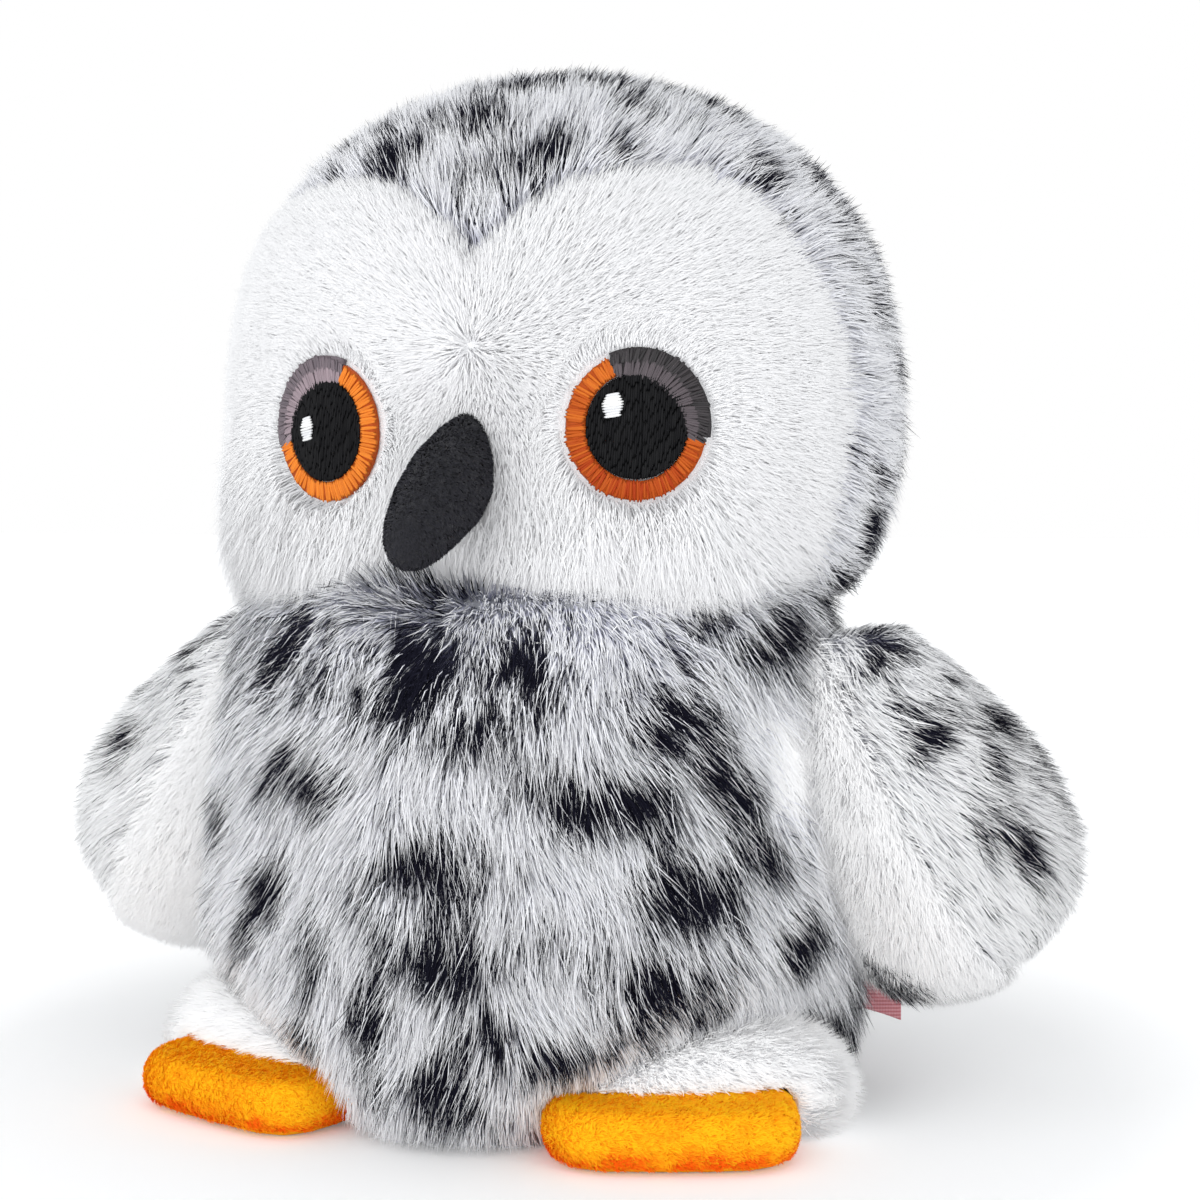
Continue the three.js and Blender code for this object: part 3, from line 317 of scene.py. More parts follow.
# The glow is painted light, strongest on the cuffs, the feet and the wing linings, which sit in shade.
owl_pile = pile_material("owl_pile", OWL_STOPS, BLACK_STOPS)
wing_pile = pile_material("wing_pile", WING_STOPS, BLACK_STOPS, glow=0.05)
face_pile = pile_material("face_pile", FACE_STOPS, CREAM_STOPS, glow=0.035)
lining_pile = pile_material("lining_pile", WHITE_STOPS, CREAM_STOPS, glow=0.13)
cuff_pile = pile_material("cuff_pile", WHITE_STOPS, CREAM_STOPS, glow=0.17)
# The foot pile's red stops serve both the knit's own mottle and the painted shade toward the ground.
foot_pile = pile_material(
    "foot_pile",
    [(0.0, (0.96, 0.42, 0.004)), (0.5, (0.985, 0.53, 0.008)), (1.0, (0.99, 0.60, 0.016))],
    [(0.0, (0.78, 0.08, 0.003)), (0.5, (0.90, 0.13, 0.004)), (1.0, (0.95, 0.18, 0.005))],
    glow=0.14,
)
beak_pile = pile_material(
    "beak_pile",
    [(0.0, (0.036, 0.036, 0.043)), (1.0, (0.046, 0.046, 0.055))],
    [(0.0, (0.032, 0.032, 0.038)), (1.0, (0.040, 0.040, 0.048))],
)

# %% Skin materials
def ground_cloth(name, color, roughness, stops, patch, grain, height, **shine):
    """The cloth under a pile: soft patches of colour and a fine knit."""
    made = material(name, color, roughness, **shine)
    paint(made, noise(made, patch), stops)
    bump(made, noise(made, grain), height)
    return made


owl_skin = ground_cloth(
    "owl_skin", (0.40, 0.41, 0.45), 0.95, [(0.3, (0.30, 0.31, 0.34)), (0.7, (0.52, 0.53, 0.57))],
    patch=900, grain=2500, height=0.0003, specular=0.1,
)
white_skin = ground_cloth(
    "white_skin", (0.93, 0.93, 0.94), 0.95, [(0.3, (0.88, 0.885, 0.90)), (0.7, (0.95, 0.95, 0.96))],
    patch=900, grain=2500, height=0.0003, specular=0.05,
)
foot_skin = ground_cloth(
    "foot_skin", (0.97, 0.45, 0.008), 0.9, [(0.3, (0.93, 0.30, 0.005)), (0.6, (0.98, 0.50, 0.008))],
    patch=320, grain=1500, height=0.0005, specular=0.1,
)
print("skin finishes", owl_skin.name, white_skin.name, foot_skin.name)

# %% [markdown]
# ## Skins
# A stuffed piece is cloth pulled tight over filling. Its skin starts as a copy of the CAD
# form, is remeshed into even small faces, and is smoothed, which takes the corners off as
# filling does. The feet have the shortest pile, so their swelling shows, and a cloth
# simulation with pressure inside fills them.

# %% Skins
FILL_PRESSURE = 4.0
FILL_FRAMES = 20
FILL_CAP = 0.8 * MM  # how far a point of the skin may move
slot_of = {row["node"]: row["material_slot"] for row in frame["record"]["subparts"]}


def copy_of_node(name, node):
    """A loose copy of a CAD node's mesh, with its doubled corners merged."""
    piece = bpy.data.objects.new(name, nodes[node].data.copy())
    bpy.context.scene.collection.objects.link(piece)
    piece.data.materials.clear()
    bpy.context.view_layer.objects.active = piece
    piece.select_set(True)
    bpy.ops.object.mode_set(mode="EDIT")
    bpy.ops.mesh.select_all(action="SELECT")
    bpy.ops.mesh.remove_doubles(threshold=1e-6)
    bpy.ops.object.mode_set(mode="OBJECT")
    return piece


def finish_modifiers(piece):
    """Applies the modifiers of the active piece."""
    for modifier in list(piece.modifiers):
        bpy.ops.object.modifier_apply(modifier=modifier.name)


def fill_out(piece):
    """Blows a skin out by cloth simulation, as filling does, and then evens it once."""
    before = np.array([v.co for v in piece.data.vertices])
    cloth = piece.modifiers.new("cloth", "CLOTH")
    cloth.settings.use_pressure = True
    cloth.settings.uniform_pressure_force = FILL_PRESSURE
    cloth.settings.effector_weights.gravity = 0
    for number in range(1, FILL_FRAMES + 1):
        bpy.context.scene.frame_set(number)
    graph = bpy.context.evaluated_depsgraph_get()
    moves = np.array([v.co for v in piece.evaluated_get(graph).data.vertices]) - before
    piece.modifiers.remove(cloth)
    bpy.context.scene.frame_set(1)
    far = np.maximum(np.linalg.norm(moves, axis=1, keepdims=True), 1e-9)
    after = before + moves * np.minimum(1, FILL_CAP / far)
    after[:, 2] = np.maximum(after[:, 2], before[:, 2].min())
    piece.data.vertices.foreach_set("co", after.astype(np.float32).ravel())
    piece.data.update()
    piece.modifiers.new("even", "SUBSURF").levels = 1
    finish_modifiers(piece)
    furthest = float(np.linalg.norm(after - before, axis=1).max()) / MM
    print("filled", piece.name, "moved up to", round(furthest, 2), "mm")


def even_faces(piece, voxel):
    """Adds the modifier that gives a piece even faces about a voxel across."""
    remesh = piece.modifiers.new("remesh", "REMESH")
    remesh.mode = "VOXEL"
    remesh.voxel_size = voxel


def skin(node, body, voxel, rounds, finish, name=None, filled=False):
    """The skin that replaces a stuffed CAD node; voxel is in millimetres."""
    piece = copy_of_node(name or f"{node}_skin", node)
    even_faces(piece, voxel * MM)
    smooth = piece.modifiers.new("smooth", "SMOOTH")
    smooth.factor = 0.5
    smooth.iterations = rounds
    finish_modifiers(piece)
    if filled:
        fill_out(piece)
    bpy.ops.object.shade_smooth()
    piece.data.materials.append(finish)
    piece.select_set(False)
    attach(piece, body)
    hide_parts(node)
    return piece


skins = {
    "body": skin("body", "root", 1.4, 8, owl_skin),
    "head": skin("head", "root", 1.6, 8, owl_skin),
    "face": skin("face", "root", 1.2, 3, white_skin),
    "pocket_flap": skin("pocket_flap", "flap", 1.0, 4, owl_skin, name="flap_skin"),
}
for side in SIDES:
    wing, pad, lining = f"wing_{side}", f"wing_{side}_pad", f"wing_{side}_lining"
    skins[pad] = skin(pad, wing, 1.1, 6, owl_skin, name=f"{wing}_skin")
    skins[lining] = skin(lining, wing, 0.8, 3, white_skin)
    skins[f"cuff_{side}"] = skin(f"cuff_{side}", "root", 1.0, 5, white_skin)
    skins[f"foot_{side}"] = skin(f"foot_{side}", "root", 1.1, 2, foot_skin, filled=True)
for name, piece in skins.items():
    print("skin", name, len(piece.data.polygons))

# %% [markdown]
# ## Growing the pile
# Pile is cut fibre, so it is modelled as what it is: hundreds of thousands of fine blades,
# each bent once, as plain meshes rather than Blender's hair, which would be quicker.
# Blender's hair would be quicker, but the finished part has to be plain meshes. Roots are
# scattered evenly over a skin with a seeded generator. A flow field says which way the
# pile lies, strands near each other lean to a shared tip, as real pile clumps, and each
# blade faces out from the skin so that it takes the light as the surface does.

# %% Scatter roots
SPARSE = 1
DENSITY = {  # strands on each square millimetre of skin
    "body": 7.0, "head": 6.5, "face": 13.0, "wing": 7.0, "lining": 14.0, "tuft": 26.0,
    "cuff": 14.0, "foot": 19.0, "flap": 5.2, "beak": 18,
}


def unit(vectors):
    """Rows of vectors, each made one long."""
    return vectors / np.maximum(np.linalg.norm(vectors, axis=-1, keepdims=True), 1e-12)


def dots(one, other):
    """The dot product of each row with its partner."""
    return np.einsum("ij,ij->i", one, other)


def rows_of(items, key, kind):
    """Three numbers of each item of a mesh, as rows."""
    found = np.zeros(len(items) * 3, kind)
    items.foreach_get(key, found)
    return found.reshape(-1, 3)


def scatter(piece, per_mm2, rng):
    """Even random points on a skin, with the normals there."""
    mesh = piece.data
    mesh.calc_loop_triangles()
    corners = rows_of(mesh.loop_triangles, "vertices", np.int32)
    places = rows_of(mesh.vertices, "co", np.float32)[corners].astype(float)
    around = rows_of(mesh.vertices, "normal", np.float32)[corners].astype(float)
    cross = np.cross(places[:, 1] - places[:, 0], places[:, 2] - places[:, 0])
    areas = np.linalg.norm(cross, axis=1) / 2
    count = int(areas.sum() / MM**2 * per_mm2 / SPARSE)
    chosen = np.searchsorted(np.cumsum(areas) / areas.sum(), rng.random(count))
    chosen = np.minimum(chosen, len(areas) - 1)
    one, two = np.sqrt(rng.random(count)), rng.random(count)
    shares = np.stack([1 - one, one * (1 - two), one * two], 1)[:, :, None]
    return (places[chosen] * shares).sum(1), unit((around[chosen] * shares).sum(1))


# %% Room for each strand
def tree_of(*names):
    """One search tree over the meshes of some CAD nodes."""
    places, faces = [], []
    for name in names:
        mesh = nodes[name].data
        start = len(places)
        places += [v.co.copy() for v in mesh.vertices]
        faces += [[start + i for i in p.vertices] for p in mesh.polygons]
    return BVHTree.FromPolygons(places, faces)


def distance_to(tree, roots):
    """How far each root is from the tree, in millimetres."""
    return np.array([tree.find_nearest(root)[3] for root in roots.tolist()]) / MM


def reach(tree, roots, directions, far):
    """How far each strand can go before it meets the tree, at most far."""
    found = np.full(len(roots), far)
    for i, (root, way) in enumerate(zip(roots.tolist(), directions.tolist())):
        hit = tree.ray_cast(root, way, far)
        if hit[0] is not None:
            found[i] = hit[3]
    return found


# %% Smooth noise over the roots
def patchy(roots, size, drawn=0.6):
    """A smooth noise at each root, from about -1 to 1, drawn out down the pile."""
    places = roots / size * [1, 1, drawn]
    return np.array([noise_field.noise(place) for place in places.tolist()])


# %% Bend, clump and face the strands
STRANDS_PER_PIECE = 62_000
FLOOR_CLEARANCE = 0.4 * MM
LONGEST_STRAND = 14 * MM
SHORTEST_STRAND = 1.2 * MM  # a strand with less room than this is left out


def pile(name, body, finish, roots, normals, flow, length, tones, rng, width=0.22 * MM,
         lift=(58, 22), clump=0.42, clump_size=16, wild=0.24, fuzz=0.35, sweep=0.0, block=None):
    """Blades from roots along a flow field; lift is their angle off the skin, low and high."""
    count = len(roots)
    flow = unit(flow - normals * dots(flow, normals)[:, None])
    across = np.cross(normals, flow)
    yaw = rng.normal(0, wild, count) + sweep * patchy(roots, 8 * MM)
    flow = flow * np.cos(yaw)[:, None] + across * np.sin(yaw)[:, None]
    length = length * rng.uniform(0.75, 1.12, count)
    low = np.radians(np.asarray(lift[0]) + rng.normal(0, 9, count))
    high = np.radians(np.asarray(lift[1]) + rng.normal(0, 9, count))
    first = flow * np.cos(low)[:, None] + normals * np.sin(low)[:, None]
    second = flow * np.cos(high)[:, None] + normals * np.sin(high)[:, None]
    if block is not None:
        free = reach(block, roots + normals * 0.2 * MM, unit(first + second), LONGEST_STRAND)
        keep = free > SHORTEST_STRAND
        length = np.minimum(length, free * 0.95)
    else:
        keep = np.ones(count, bool)
    middles = roots + first * (length * 0.5)[:, None]
    tips = middles + second * (length * 0.5)[:, None]
    leaders = rng.choice(count, max(1, count // clump_size), replace=False)
    near = kdtree.KDTree(len(leaders))
    for i, leader in enumerate(leaders):
        near.insert(roots[leader], i)
    near.balance()
    mine = np.array([near.find(root)[1] for root in roots.tolist()])
    leader = leaders[mine]
    pull = (clump * rng.uniform(0.5, 1.1, count))[:, None]
    tips = tips + (tips[leader] - tips) * pull
    middles = middles + (middles[leader] - middles) * pull * 0.4
    middles[:, 2] = np.maximum(middles[:, 2], FLOOR_CLEARANCE)
    tips[:, 2] = np.maximum(tips[:, 2], FLOOR_CLEARANCE)
    facing = unit(normals + rng.normal(0, fuzz, (count, 3)))
    way = unit(tips - roots)
    side = unit(np.cross(way, facing))
    half = (width / 2 * rng.uniform(0.7, 1.25, count) * math.sqrt(SPARSE))[:, None]
    corners = np.stack([
        roots - side * half, roots + side * half,
        middles + side * half * 0.85, middles - side * half * 0.85, tips,
    ], 1)
    shading = unit(normals * 0.75 + facing * 0.45 + way * 0.1)
    shading = np.repeat(shading[:, None, :], 5, 1)
    order = np.argsort(np.arctan2(roots[:, 0], -roots[:, 1]), kind="stable")
    order = order[keep[order]]
    parts = max(1, math.ceil(len(order) / STRANDS_PER_PIECE))
    for i, chosen in enumerate(np.array_split(order, parts)):
        piece = blades(f"{name}_{i + 1}", corners[chosen], shading[chosen], tones[chosen])
        piece.data.materials.append(finish)
        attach(piece, body)
    print("pile", name, len(order), "strands in", parts)


# %% Blades as a mesh
def blades(name, corners, shading, tones):
    """One mesh of five-cornered blades: a quad and a tip each, as three triangles."""
    count = len(corners)
    mesh = bpy.data.meshes.new(name)
    mesh.vertices.add(count * 5)
    mesh.vertices.foreach_set("co", corners.astype(np.float32).ravel())
    order = np.array([0, 1, 2, 0, 2, 3, 3, 2, 4])
    indices = (np.arange(count)[:, None] * 5 + order).ravel()
    mesh.loops.add(count * 9)
    mesh.loops.foreach_set("vertex_index", indices.astype(np.int32))
    mesh.polygons.add(count * 3)
    mesh.polygons.foreach_set("loop_start", np.arange(0, count * 9, 3, dtype=np.int32))
    mesh.polygons.foreach_set("loop_total", np.full(count * 3, 3, np.int32))
    mesh.update(calc_edges=True)
    layer = mesh.uv_layers.new(name=PILE_MAP)
    up = np.array([0.03, 0.03, 0.5, 0.5, 0.97])
    over = np.array([-0.003, 0.003, 0.003, -0.003, 0])
    u = np.clip(tones, 0.01, 0.99)[:, None] + over
    v = np.tile(up, (count, 1))
    uv = np.stack([u, v], 2)[:, order, :]
    layer.data.foreach_set("uv", uv.astype(np.float32).ravel())
    mesh.polygons.foreach_set("use_smooth", np.ones(count * 3, bool))
    mesh.normals_split_custom_set_from_vertices(shading.reshape(-1, 3).astype(np.float32))
    piece = bpy.data.objects.new(name, mesh)
    bpy.context.scene.collection.objects.link(piece)
    return piece


# %% [markdown]
# ## Black tufts
# The cloth is white pile printed with black tufts in loose, staggered rows. The tufts that
# show in the photograph are listed by where they are in it, so each one lands on the form
# that is seen there. A seeded loop fills the rows behind. A tuft's half sizes are across
# and along the lie of the pile.

# %% Tufts seen in the photograph
PHOTO_SIZE = 1200  # pixels, both ways
OWL_MIDDLE = Vector((0, 0, 80 * MM))
TUFTS_SEEN = [  # pixels across and down, half sizes in millimetres, strength
    # body
    (305, 635, 4, 6, 1), (262, 640, 7, 5, 0.45), (430, 655, 4.5, 9, 0.95), (530, 662, 5, 7, 0.7),
    (470, 712, 8, 4, 0.65), (560, 640, 6, 5, 0.4), (645, 712, 6.5, 4.5, 0.95), (675, 735, 4.5, 6, 0.95),
    (700, 772, 4, 6, 0.8), (345, 757, 7, 4, 0.95), (305, 768, 3.5, 3.5, 0.6), (330, 668, 8, 4, 0.4),
    (258, 797, 3.8, 5, 1), (238, 825, 2.5, 4.5, 0.6), (540, 760, 4, 4, 0.75), (580, 783, 5.5, 4, 1),
    (625, 778, 5.5, 4, 0.9), (445, 840, 7.5, 5.2, 1), (465, 925, 8, 6, 0.95), (420, 905, 4, 4, 0.7),
    (302, 868, 3.6, 5.5, 0.95), (284, 908, 3, 4.5, 0.8), (250, 950, 7, 3, 0.95), (395, 970, 4.2, 5.5, 0.9),
    (330, 1012, 3.8, 3, 0.9), (665, 873, 7.5, 5, 0.95), (735, 830, 4.6, 4.6, 0.9), (717, 780, 3.2, 6, 0.8),
    (652, 952, 8, 6, 0.85), (592, 930, 2.4, 5, 0.7), (685, 990, 5, 3, 0.85), (772, 912, 6.5, 3.8, 1),
    (460, 1050, 5.2, 6.5, 0.95), (390, 1048, 3, 4.5, 0.6), (560, 1028, 8, 4, 0.9),
    (612, 1000, 4, 3.4, 0.85),
    (490, 998, 2.6, 4, 0.8), (680, 1035, 5, 2.6, 0.85), (755, 1028, 6.5, 3.4, 0.9), (828, 1020, 4, 5, 0.85),
    (818, 968, 4, 4.2, 0.8), (242, 880, 3, 5, 0.35), (305, 600, 5, 3, 0.5), (430, 600, 6, 3, 0.6),
    # head
    (522, 112, 7, 4, 0.9), (552, 100, 4, 3.5, 0.8), (488, 150, 6, 5.5, 0.7), (545, 187, 2.8, 5.5, 0.9),
    (412, 177, 4.6, 4, 0.75), (437, 152, 2.6, 4, 0.6), (482, 212, 7, 6.5, 0.42), (600, 78, 6.5, 3, 0.8),
    (702, 105, 5.5, 3, 0.8), (630, 130, 6, 3.6, 0.6), (665, 80, 5, 2.8, 0.5), (388, 137, 3.6, 2.8, 0.85),
    (672, 145, 6, 3.4, 0.35), (745, 190, 5, 3, 0.6), (797, 197, 6.5, 4, 0.95), (826, 236, 5.5, 5, 0.7),
    (847, 270, 6.5, 4.2, 0.9), (842, 302, 4, 3, 0.45), (868, 364, 5, 4.6, 0.85), (870, 425, 5.5, 4, 0.65),
    (850, 476, 4, 4, 0.6), (840, 515, 4.4, 4.2, 0.9), (856, 552, 5, 5, 0.95), (800, 592, 5, 3, 0.6),
    # near wing
    (745, 632, 7.5, 3.4, 1), (692, 618, 4.6, 2.2, 0.8), (805, 665, 4.6, 3, 0.9), (850, 668, 4.6, 2.6, 0.95),
    (762, 668, 4.6, 4, 0.45), (885, 648, 6, 3, 0.5), (903, 736, 6, 2.8, 0.9), (968, 720, 7, 2.6, 0.85),
    (866, 728, 3, 4, 0.55), (1012, 775, 4.4, 6, 0.65), (1008, 850, 2.6, 6, 0.9), (1030, 888, 2.6, 4.6, 0.8),
    (1022, 918, 3.6, 2.8, 0.8), (955, 815, 4.8, 4, 0.6), (935, 842, 3, 2.6, 0.6), (866, 775, 4, 5, 0.4),
    (932, 862, 2, 4, 0.45), (900, 990, 5.5, 4, 1), (1065, 875, 2.6, 5, 0.35),
    # far wing
    (222, 632, 5.5, 3.6, 0.65), (215, 668, 4.6, 3, 0.6), (172, 690, 4.6, 3, 0.65),
    (152, 735, 4.6, 3.8, 0.6),
    (226, 726, 2.4, 4.4, 0.85), (132, 862, 3.8, 3.8, 0.6), (118, 886, 2, 3, 0.8), (180, 762, 4, 3, 0.3),
]
WHITE_SEEN = [  # places on the body that show no tuft, as above but without the strength
    (768, 755, 7, 13), (800, 830, 7, 10), (838, 900, 6, 8), (735, 705, 4, 5),
]


def picture_frame():
    """The left, width, top, height and depth of the camera's picture, in its own axes."""
    low_right, low_left, high_left = camera.data.view_frame()[1:4]
    left, high = high_left.x, high_left.y
    return left, low_right.x - left, high, low_left.y - high, low_right.z


def seen_at(across, down, pieces):
    """The nearest point of some pieces that the camera sees at a place in the photograph."""
    left, width, high, height, depth = picture_frame()
    place = Vector((left + width * across / PHOTO_SIZE, high + height * down / PHOTO_SIZE, depth))
    eye = camera.matrix_world.translation
    way = (camera.matrix_world @ place - eye).normalized()
    best = None
    for piece in pieces:
        found = piece.ray_cast(eye, way)
        if found[0] and (best is None or (found[1] - eye).length < (best - eye).length):
            best = found[1]
    if best is not None:
        return np.array(best)
    passing = eye + way * (OWL_MIDDLE - eye).length
    nearest = [piece.closest_point_on_mesh(passing)[1] for piece in pieces]
    return np.array(min(nearest, key=lambda place: (place - eye).cross(way).length))


def photo_places(points):
    """Where the photograph shows some points, in pixels across and down."""
    left, width, high, height, depth = picture_frame()
    turned = np.array(camera.matrix_world.inverted())
    local = points @ turned[:3, :3].T + turned[:3, 3]
    flat = local[:, :2] * (depth / local[:, 2])[:, None]
    return (flat[:, 0] - left) / width * PHOTO_SIZE, (flat[:, 1] - high) / height * PHOTO_SIZE


bpy.context.view_layer.update()
patterned = [skins[name] for name in ("body", "head", "wing_left_pad", "wing_right_pad")]
tufts_seen = [(seen_at(x, y, patterned), *size_and_strength) for x, y, *size_and_strength in TUFTS_SEEN]
white_seen = [(seen_at(x, y, [skins["body"]]), *size, 1) for x, y, *size in WHITE_SEEN]
print("tufts seen", len(tufts_seen))


# %% Tufts behind
def on_form(piece, centre, bearing, height=None, rise=0.0):
    """The point of a skin that is met when coming in toward centre along a bearing."""
    angle = math.radians(bearing)
    up = math.radians(rise)
    way = Vector((math.sin(angle) * math.cos(up), -math.cos(angle) * math.cos(up), math.sin(up)))
    target = Vector(centre)
    if height is not None:
        target.z = height * MM
    found = piece.ray_cast(target + way * 0.2, -way)
    return np.array(found[1])


def staggered(rng, rows, columns, bearings, heights):
    """Bearings and heights of tufts in rows, each from its first value, its step and how far
    chance moves it; a bearing's last number is how far the odd rows are shifted."""
    first, step, sway, shift = bearings
    low, rise, drift = heights
    for row in range(rows):
        for i in range(columns):
            bearing = first + step * i + shift * (row % 2) + rng.uniform(-sway, sway)
            yield bearing, low + rise * row + rng.uniform(-drift, drift)


def darkness(roots, flow, normals, tufts):
    """How black the pile is at each root, from 0 to 1, with streaky edges."""
    flow = unit(flow - normals * dots(flow, normals)[:, None])
    across = np.cross(normals, flow)
    streaks = patchy(roots, 1.3 * MM, drawn=0.22)
    broad = patchy(roots, 6 * MM)
    found = np.zeros(len(roots))
    for centre, half_width, half_height, strength in tufts:
        offset = roots - centre
        wide = dots(offset, across) / (half_width * MM)
        high = dots(offset, flow) / (half_height * MM)
        deep = dots(offset, normals) / (12 * MM)
        level = strength * np.exp(-((wide**2 + high**2 + deep**2) ** 1.2) * 0.62)
        found = np.maximum(found, level)
    return np.clip((found - 0.34) * 1.7 + (found > 0.08) * (streaks * 0.95 + broad * 0.45), 0, 1)


def tones_of(level, rng, haze=0.02, grey=0.09):
    """A strand is black, grey or white by chance, and blacker places have more black ones; the grey strands
    are painted shade, for the bluish shade near and between the tufts.
    """
    black = rng.random(len(level)) < np.clip(level * 1.15 + haze, 0, 0.97)
    shade_grey = rng.random(len(level)) < np.clip(level * 0.8 + grey, 0, 0.5)
    light = np.where(shade_grey, rng.uniform(0.25, 0.5, len(level)), rng.uniform(0.0, 0.14, len(level)))
    return np.where(black, rng.uniform(0.84, 1.0, len(level)), light)


def strewn(roots, size, spread, less, most, drawn=0.4):
    """Chance dark specks between the tufts, as a level at each root."""
    return np.clip(patchy(roots, size * MM, drawn=drawn) * spread - less, 0, most)


# %% [markdown]
# ### Body
# The body is a bag of long white plush with black bars, and its pile hangs down over the
# belly. Flow, length and colour are worked out from each root's place. The bottom, the
# pocket and the cloth under its flap stay bare, as they are on the real toy.

# %% Roots of the body pile
POCKET_HALF_WIDTH = 29.5 * MM
POCKET_FRONT = -10.5 * MM
POCKET_BOTTOM, POCKET_TOP = 13 * MM, 71 * MM
FLAP_HALF_WIDTH = 33.5 * MM
FLAP_BOTTOM, FLAP_TOP = 6 * MM, 77.5 * MM

rng = np.random.default_rng(11)
body_tufts = list(tufts_seen)
for bearing, height in staggered(rng, 6, 9, (85, 22, 4, 11), (17, 12.5, 2)):
    if bearing < 290:
        centre = on_form(skins["body"], (0, 0, 0), bearing, height=height)
        body_tufts.append((centre, rng.uniform(5, 7.5), rng.uniform(4, 6), 0.95))
roots, normals = scatter(skins["body"], DENSITY["body"], rng)
outward = unit(roots * [1, 1, 0])
outer = dots(outward, normals) > 0.25
pocket = (np.abs(roots[:, 0]) < POCKET_HALF_WIDTH) & (roots[:, 1] > POCKET_FRONT)
pocket &= (roots[:, 2] > POCKET_BOTTOM) & (roots[:, 2] < POCKET_TOP)
under_flap = (np.abs(roots[:, 0]) < FLAP_HALF_WIDTH) & (roots[:, 1] > 0)
under_flap &= (roots[:, 2] > FLAP_BOTTOM) & (roots[:, 2] < FLAP_TOP)
low = (roots[:, 2] < 1.5 * MM) & (normals[:, 2] < -0.5)
kept = outer & ~pocket & ~under_flap & ~low
roots, normals = roots[kept], normals[kept]
print("body roots", len(roots))

# %% Flow and colour of the body pile
heights = roots[:, 2] / MM
sideways = np.interp(heights, [0, 40, 80], [0.2, 0.45, 0.9])[:, None] * [1, 0, 0]
flow = np.array([0, 0, -1.0]) + roots / (46 * MM) * sideways
level = darkness(roots, flow, normals, body_tufts)
level = np.maximum(level, strewn(roots, 4.5, 1.6, 0.5, 0.6))
chest = np.interp(heights, [60, 68, 77, 80], [0, 0.2, 0.2, 0.1]) * (roots[:, 0] < 14 * MM)
ahead = roots[:, 1] < 0
hem = 1 - (1 - np.clip((heights - 5) / 6, 0, 1)) * ahead
cuff_tree = tree_of("cuff_left", "cuff_right")
to_cuff = distance_to(cuff_tree, roots)
between_feet = ahead & (np.abs(roots[:, 0]) < 27 * MM) & (heights < 20)
hem *= 1 - between_feet * np.interp(to_cuff, [2, 7], [0.9, 0])
shown = (1 - np.clip(darkness(roots, flow, normals, white_seen) * 2, 0, 1)) * hem
drift = np.clip(patchy(roots, 13 * MM) * 0.4 + 0.08, 0, 0.25)
tones = tones_of(level * shown, rng, haze=(0.02 + chest * ahead) * shown, grey=(0.06 + drift) * shown)
print("black strands", int((tones > 0.8).sum()))

# %% Length of the body pile
collar = np.interp(heights, [64, 72, 79], [0, 0.35, 0.75])
collar *= np.interp(np.abs(roots[:, 0]) / MM, [30, 40], [1, 0])
under_beak = np.exp(-((roots[:, 0] / MM + 7) / 13) ** 2) * ahead * np.clip((heights - 75) / 4, 0, 1)
collar *= 1 - 0.6 * under_beak
length = np.interp(to_cuff, [2, 5, 14], [3.5, 6, 12]) * (1 - collar)
side_white = darkness(roots, flow, normals, white_seen) > 0.5 + rng.normal(0, 0.2, len(roots))
neighbours = tree_of("head", "face", "wing_left_pad", "wing_left_lining", "wing_right_pad",
                     "wing_right_lining", "cuff_left", "cuff_right", "foot_left", "foot_right")
keep = ~side_white
lift = (58 - 22 * collar[keep] + 30 * under_beak[keep], 22 - 12 * collar[keep] + 62 * under_beak[keep])
pile("body_pile", "root", owl_pile, roots[keep], normals[keep], flow[keep], length[keep] * MM, tones[keep],
     rng, sweep=0.7, lift=lift, block=neighbours)
# The body's white side takes the lining's pile, whose glow is painted light that brightens it.
keep = side_white
pile("side_pile", "root", lining_pile, roots[keep], normals[keep], flow[keep], length[keep] * 0.7 * MM,
     tones[keep] * 0.3, rng, fuzz=0.12, block=neighbours)

# %% [markdown]
# ### Head
# The head is a ball of the same barred plush. Its pile parts at the face and lies back over
# the crown, so the flow starts at the middle of the face and turns down behind.

# %% Head pile
rng = np.random.default_rng(12)
head_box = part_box("head")
head_centre = np.array((head_box[0] + head_box[1]) / 2)
face_middle = np.array([0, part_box("face")[0].y, head_centre[2] - 4 * MM])
head_tufts = list(tufts_seen)
for bearing, rise in staggered(rng, 7, 10, (112, 21, 4, 10), (-42, 19, 4)):
    if bearing < 282:
        centre = on_form(skins["head"], head_centre, bearing, rise=rise)
        head_tufts.append((centre, rng.uniform(5, 8), rng.uniform(4, 6), 0.95))
roots, normals = scatter(skins["head"], DENSITY["head"], rng)
kept = roots[:, 2] > head_box[0].z + 1.5 * MM
roots, normals = roots[kept], normals[kept]
face_tree = tree_of("face")
bare = reach(face_tree, roots, normals, 5 * MM) > 4.9 * MM
roots, normals = roots[bare], normals[bare]
away = unit(roots - face_middle)
behind = np.clip((roots[:, 1] - head_centre[1]) / (22 * MM), 0, 1)[:, None]
flow = away * (1 - behind) + np.array([0, 0.1, -1.0]) * behind
level = np.clip(darkness(roots, flow, normals, head_tufts) * 1.3, 0, 1)
level = np.maximum(level, strewn(roots, 5, 2.0, 0.55, 0.9))
tones = tones_of(level, rng, haze=0.015, grey=0.09)
neighbours = tree_of("body", "wing_left_pad", "wing_right_pad", "face")
length = np.interp(normals[:, 2], [0, 0.6, 1], [10, 8.5, 7.5]) * MM
pile("head_pile", "root", owl_pile, roots, normals, flow, length, tones, rng, lift=(54, 20), sweep=0.6,
     block=neighbours)

# %% [markdown]
# ### Face
# The face is a heart of shorter white plush. Its pile runs outward, parts round the eyes,
# stands short along the upper edge and hangs over the body in a fringe. Near the viewer it
# stops at the edge that the photograph shows, and barred strands grow beyond that edge.

